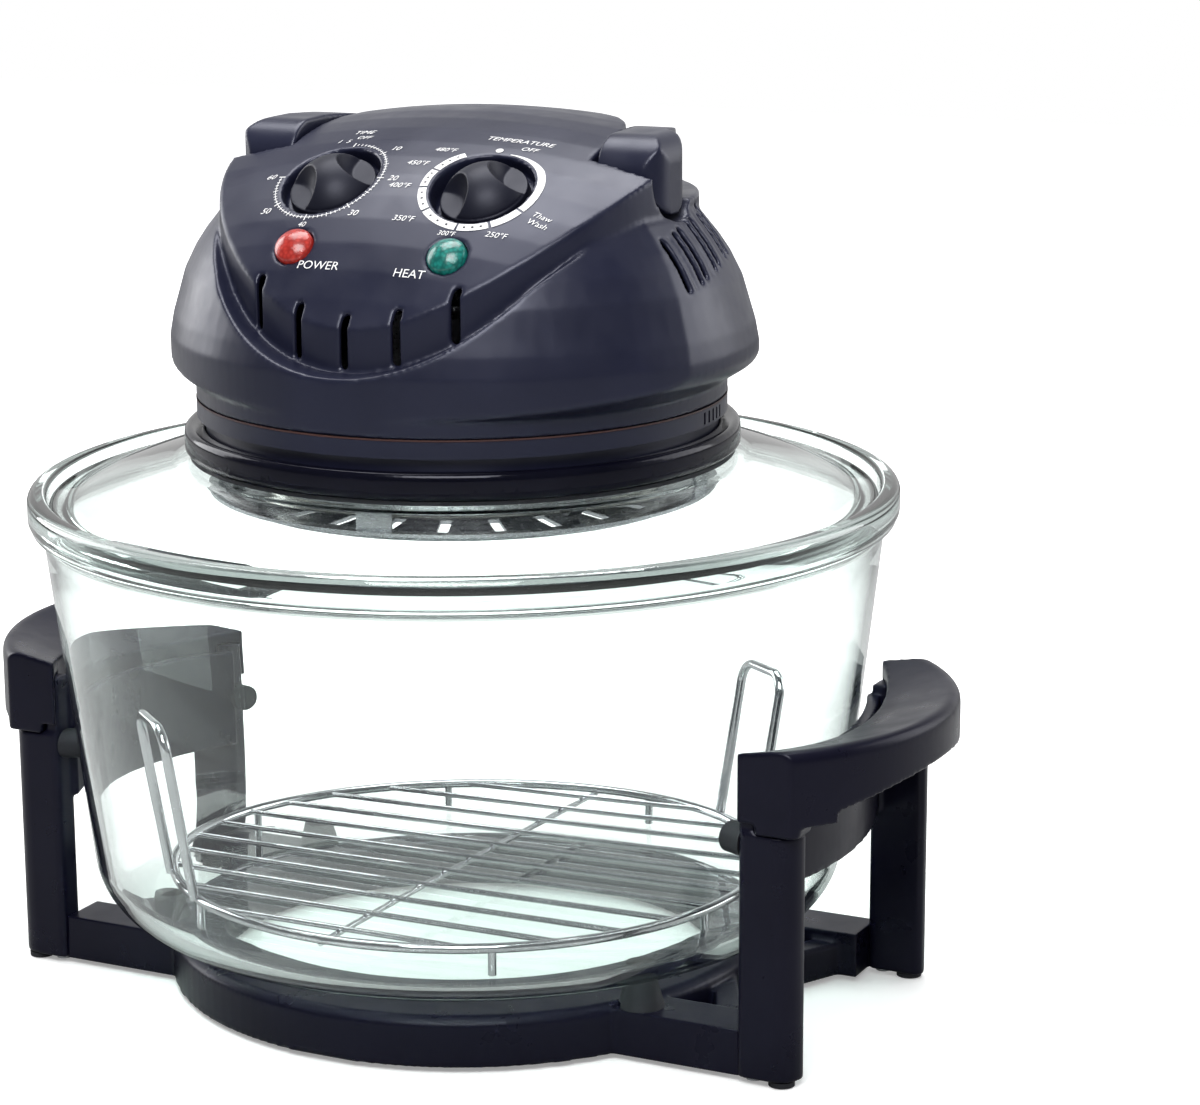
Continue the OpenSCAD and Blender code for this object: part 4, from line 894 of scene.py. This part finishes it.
def softbox(name, place, size, watts):
    """Rectangular lamp that faces the middle of the object."""
    data = bpy.data.lights.new(name, "AREA")
    data.shape = "RECTANGLE"
    data.size = size[0] * MM
    data.size_y = size[1] * MM
    data.energy = watts
    lamp = bpy.data.objects.new(name, data)
    lamp.location = [c * MM for c in place]
    aim = Vector([c * MM for c in LIT_POINT]) - Vector([c * MM for c in place])
    lamp.rotation_euler = aim.to_track_quat("-Z", "Y").to_euler()
    bpy.context.scene.collection.objects.link(lamp)


softbox("key", (500, -1300, 1600), (1100, 1000), 36)
softbox("top", (-300, 350, 1700), (1300, 1000), 26)
softbox("left", (-1600, 200, 750), (900, 1200), 15)
softbox("right", (1200, 1080, 800), (1000, 1200), 9)

# --------------------------------------------------------------------------------------------
# Camera, fitted to the photograph
# --------------------------------------------------------------------------------------------
IMAGE_W = 1200.0  # the photograph's frame in pixels
IMAGE_H = 1105.0
FOCAL_PX = 3536.4
CENTRE_PX = (465.1, 609.2)  # pixel that the camera looks at straight on
AZIMUTH = math.radians(28.05)
ELEVATION = math.radians(14.16)
ROLL = math.radians(-0.803)
DISTANCE = 1413.8
LOOK_AT = Vector((0, 0, 150.0))
SENSOR = 36.0
CLIP_NEAR = 50.0
CLIP_FAR = 20000.0


def add_camera():
    """Camera that turns round LOOK_AT at a distance, shifted so that the frame matches the photograph."""
    flat = math.cos(ELEVATION)
    back = Vector((math.sin(AZIMUTH) * flat, -math.cos(AZIMUTH) * flat, math.sin(ELEVATION)))
    level = Vector((math.cos(AZIMUTH), math.sin(AZIMUTH), 0))
    upward = level.cross(-back)
    right = level * math.cos(ROLL) + upward * math.sin(ROLL)
    above = upward * math.cos(ROLL) - level * math.sin(ROLL)
    data = bpy.data.cameras.new("camera")
    data.sensor_width = SENSOR
    data.lens = FOCAL_PX * SENSOR / IMAGE_W
    data.shift_x = (IMAGE_W / 2 - CENTRE_PX[0]) / IMAGE_W
    data.shift_y = (CENTRE_PX[1] - IMAGE_H / 2) / IMAGE_W
    data.clip_start = CLIP_NEAR * MM
    data.clip_end = CLIP_FAR * MM
    camera = bpy.data.objects.new("camera", data)
    turn = Matrix((right, above, back)).transposed().to_4x4()
    camera.matrix_world = Matrix.Translation((LOOK_AT + back * DISTANCE) * MM) @ turn
    bpy.context.scene.collection.objects.link(camera)
    bpy.context.scene.camera = camera


add_camera()
bpy.context.scene.view_settings.view_transform = "Standard"
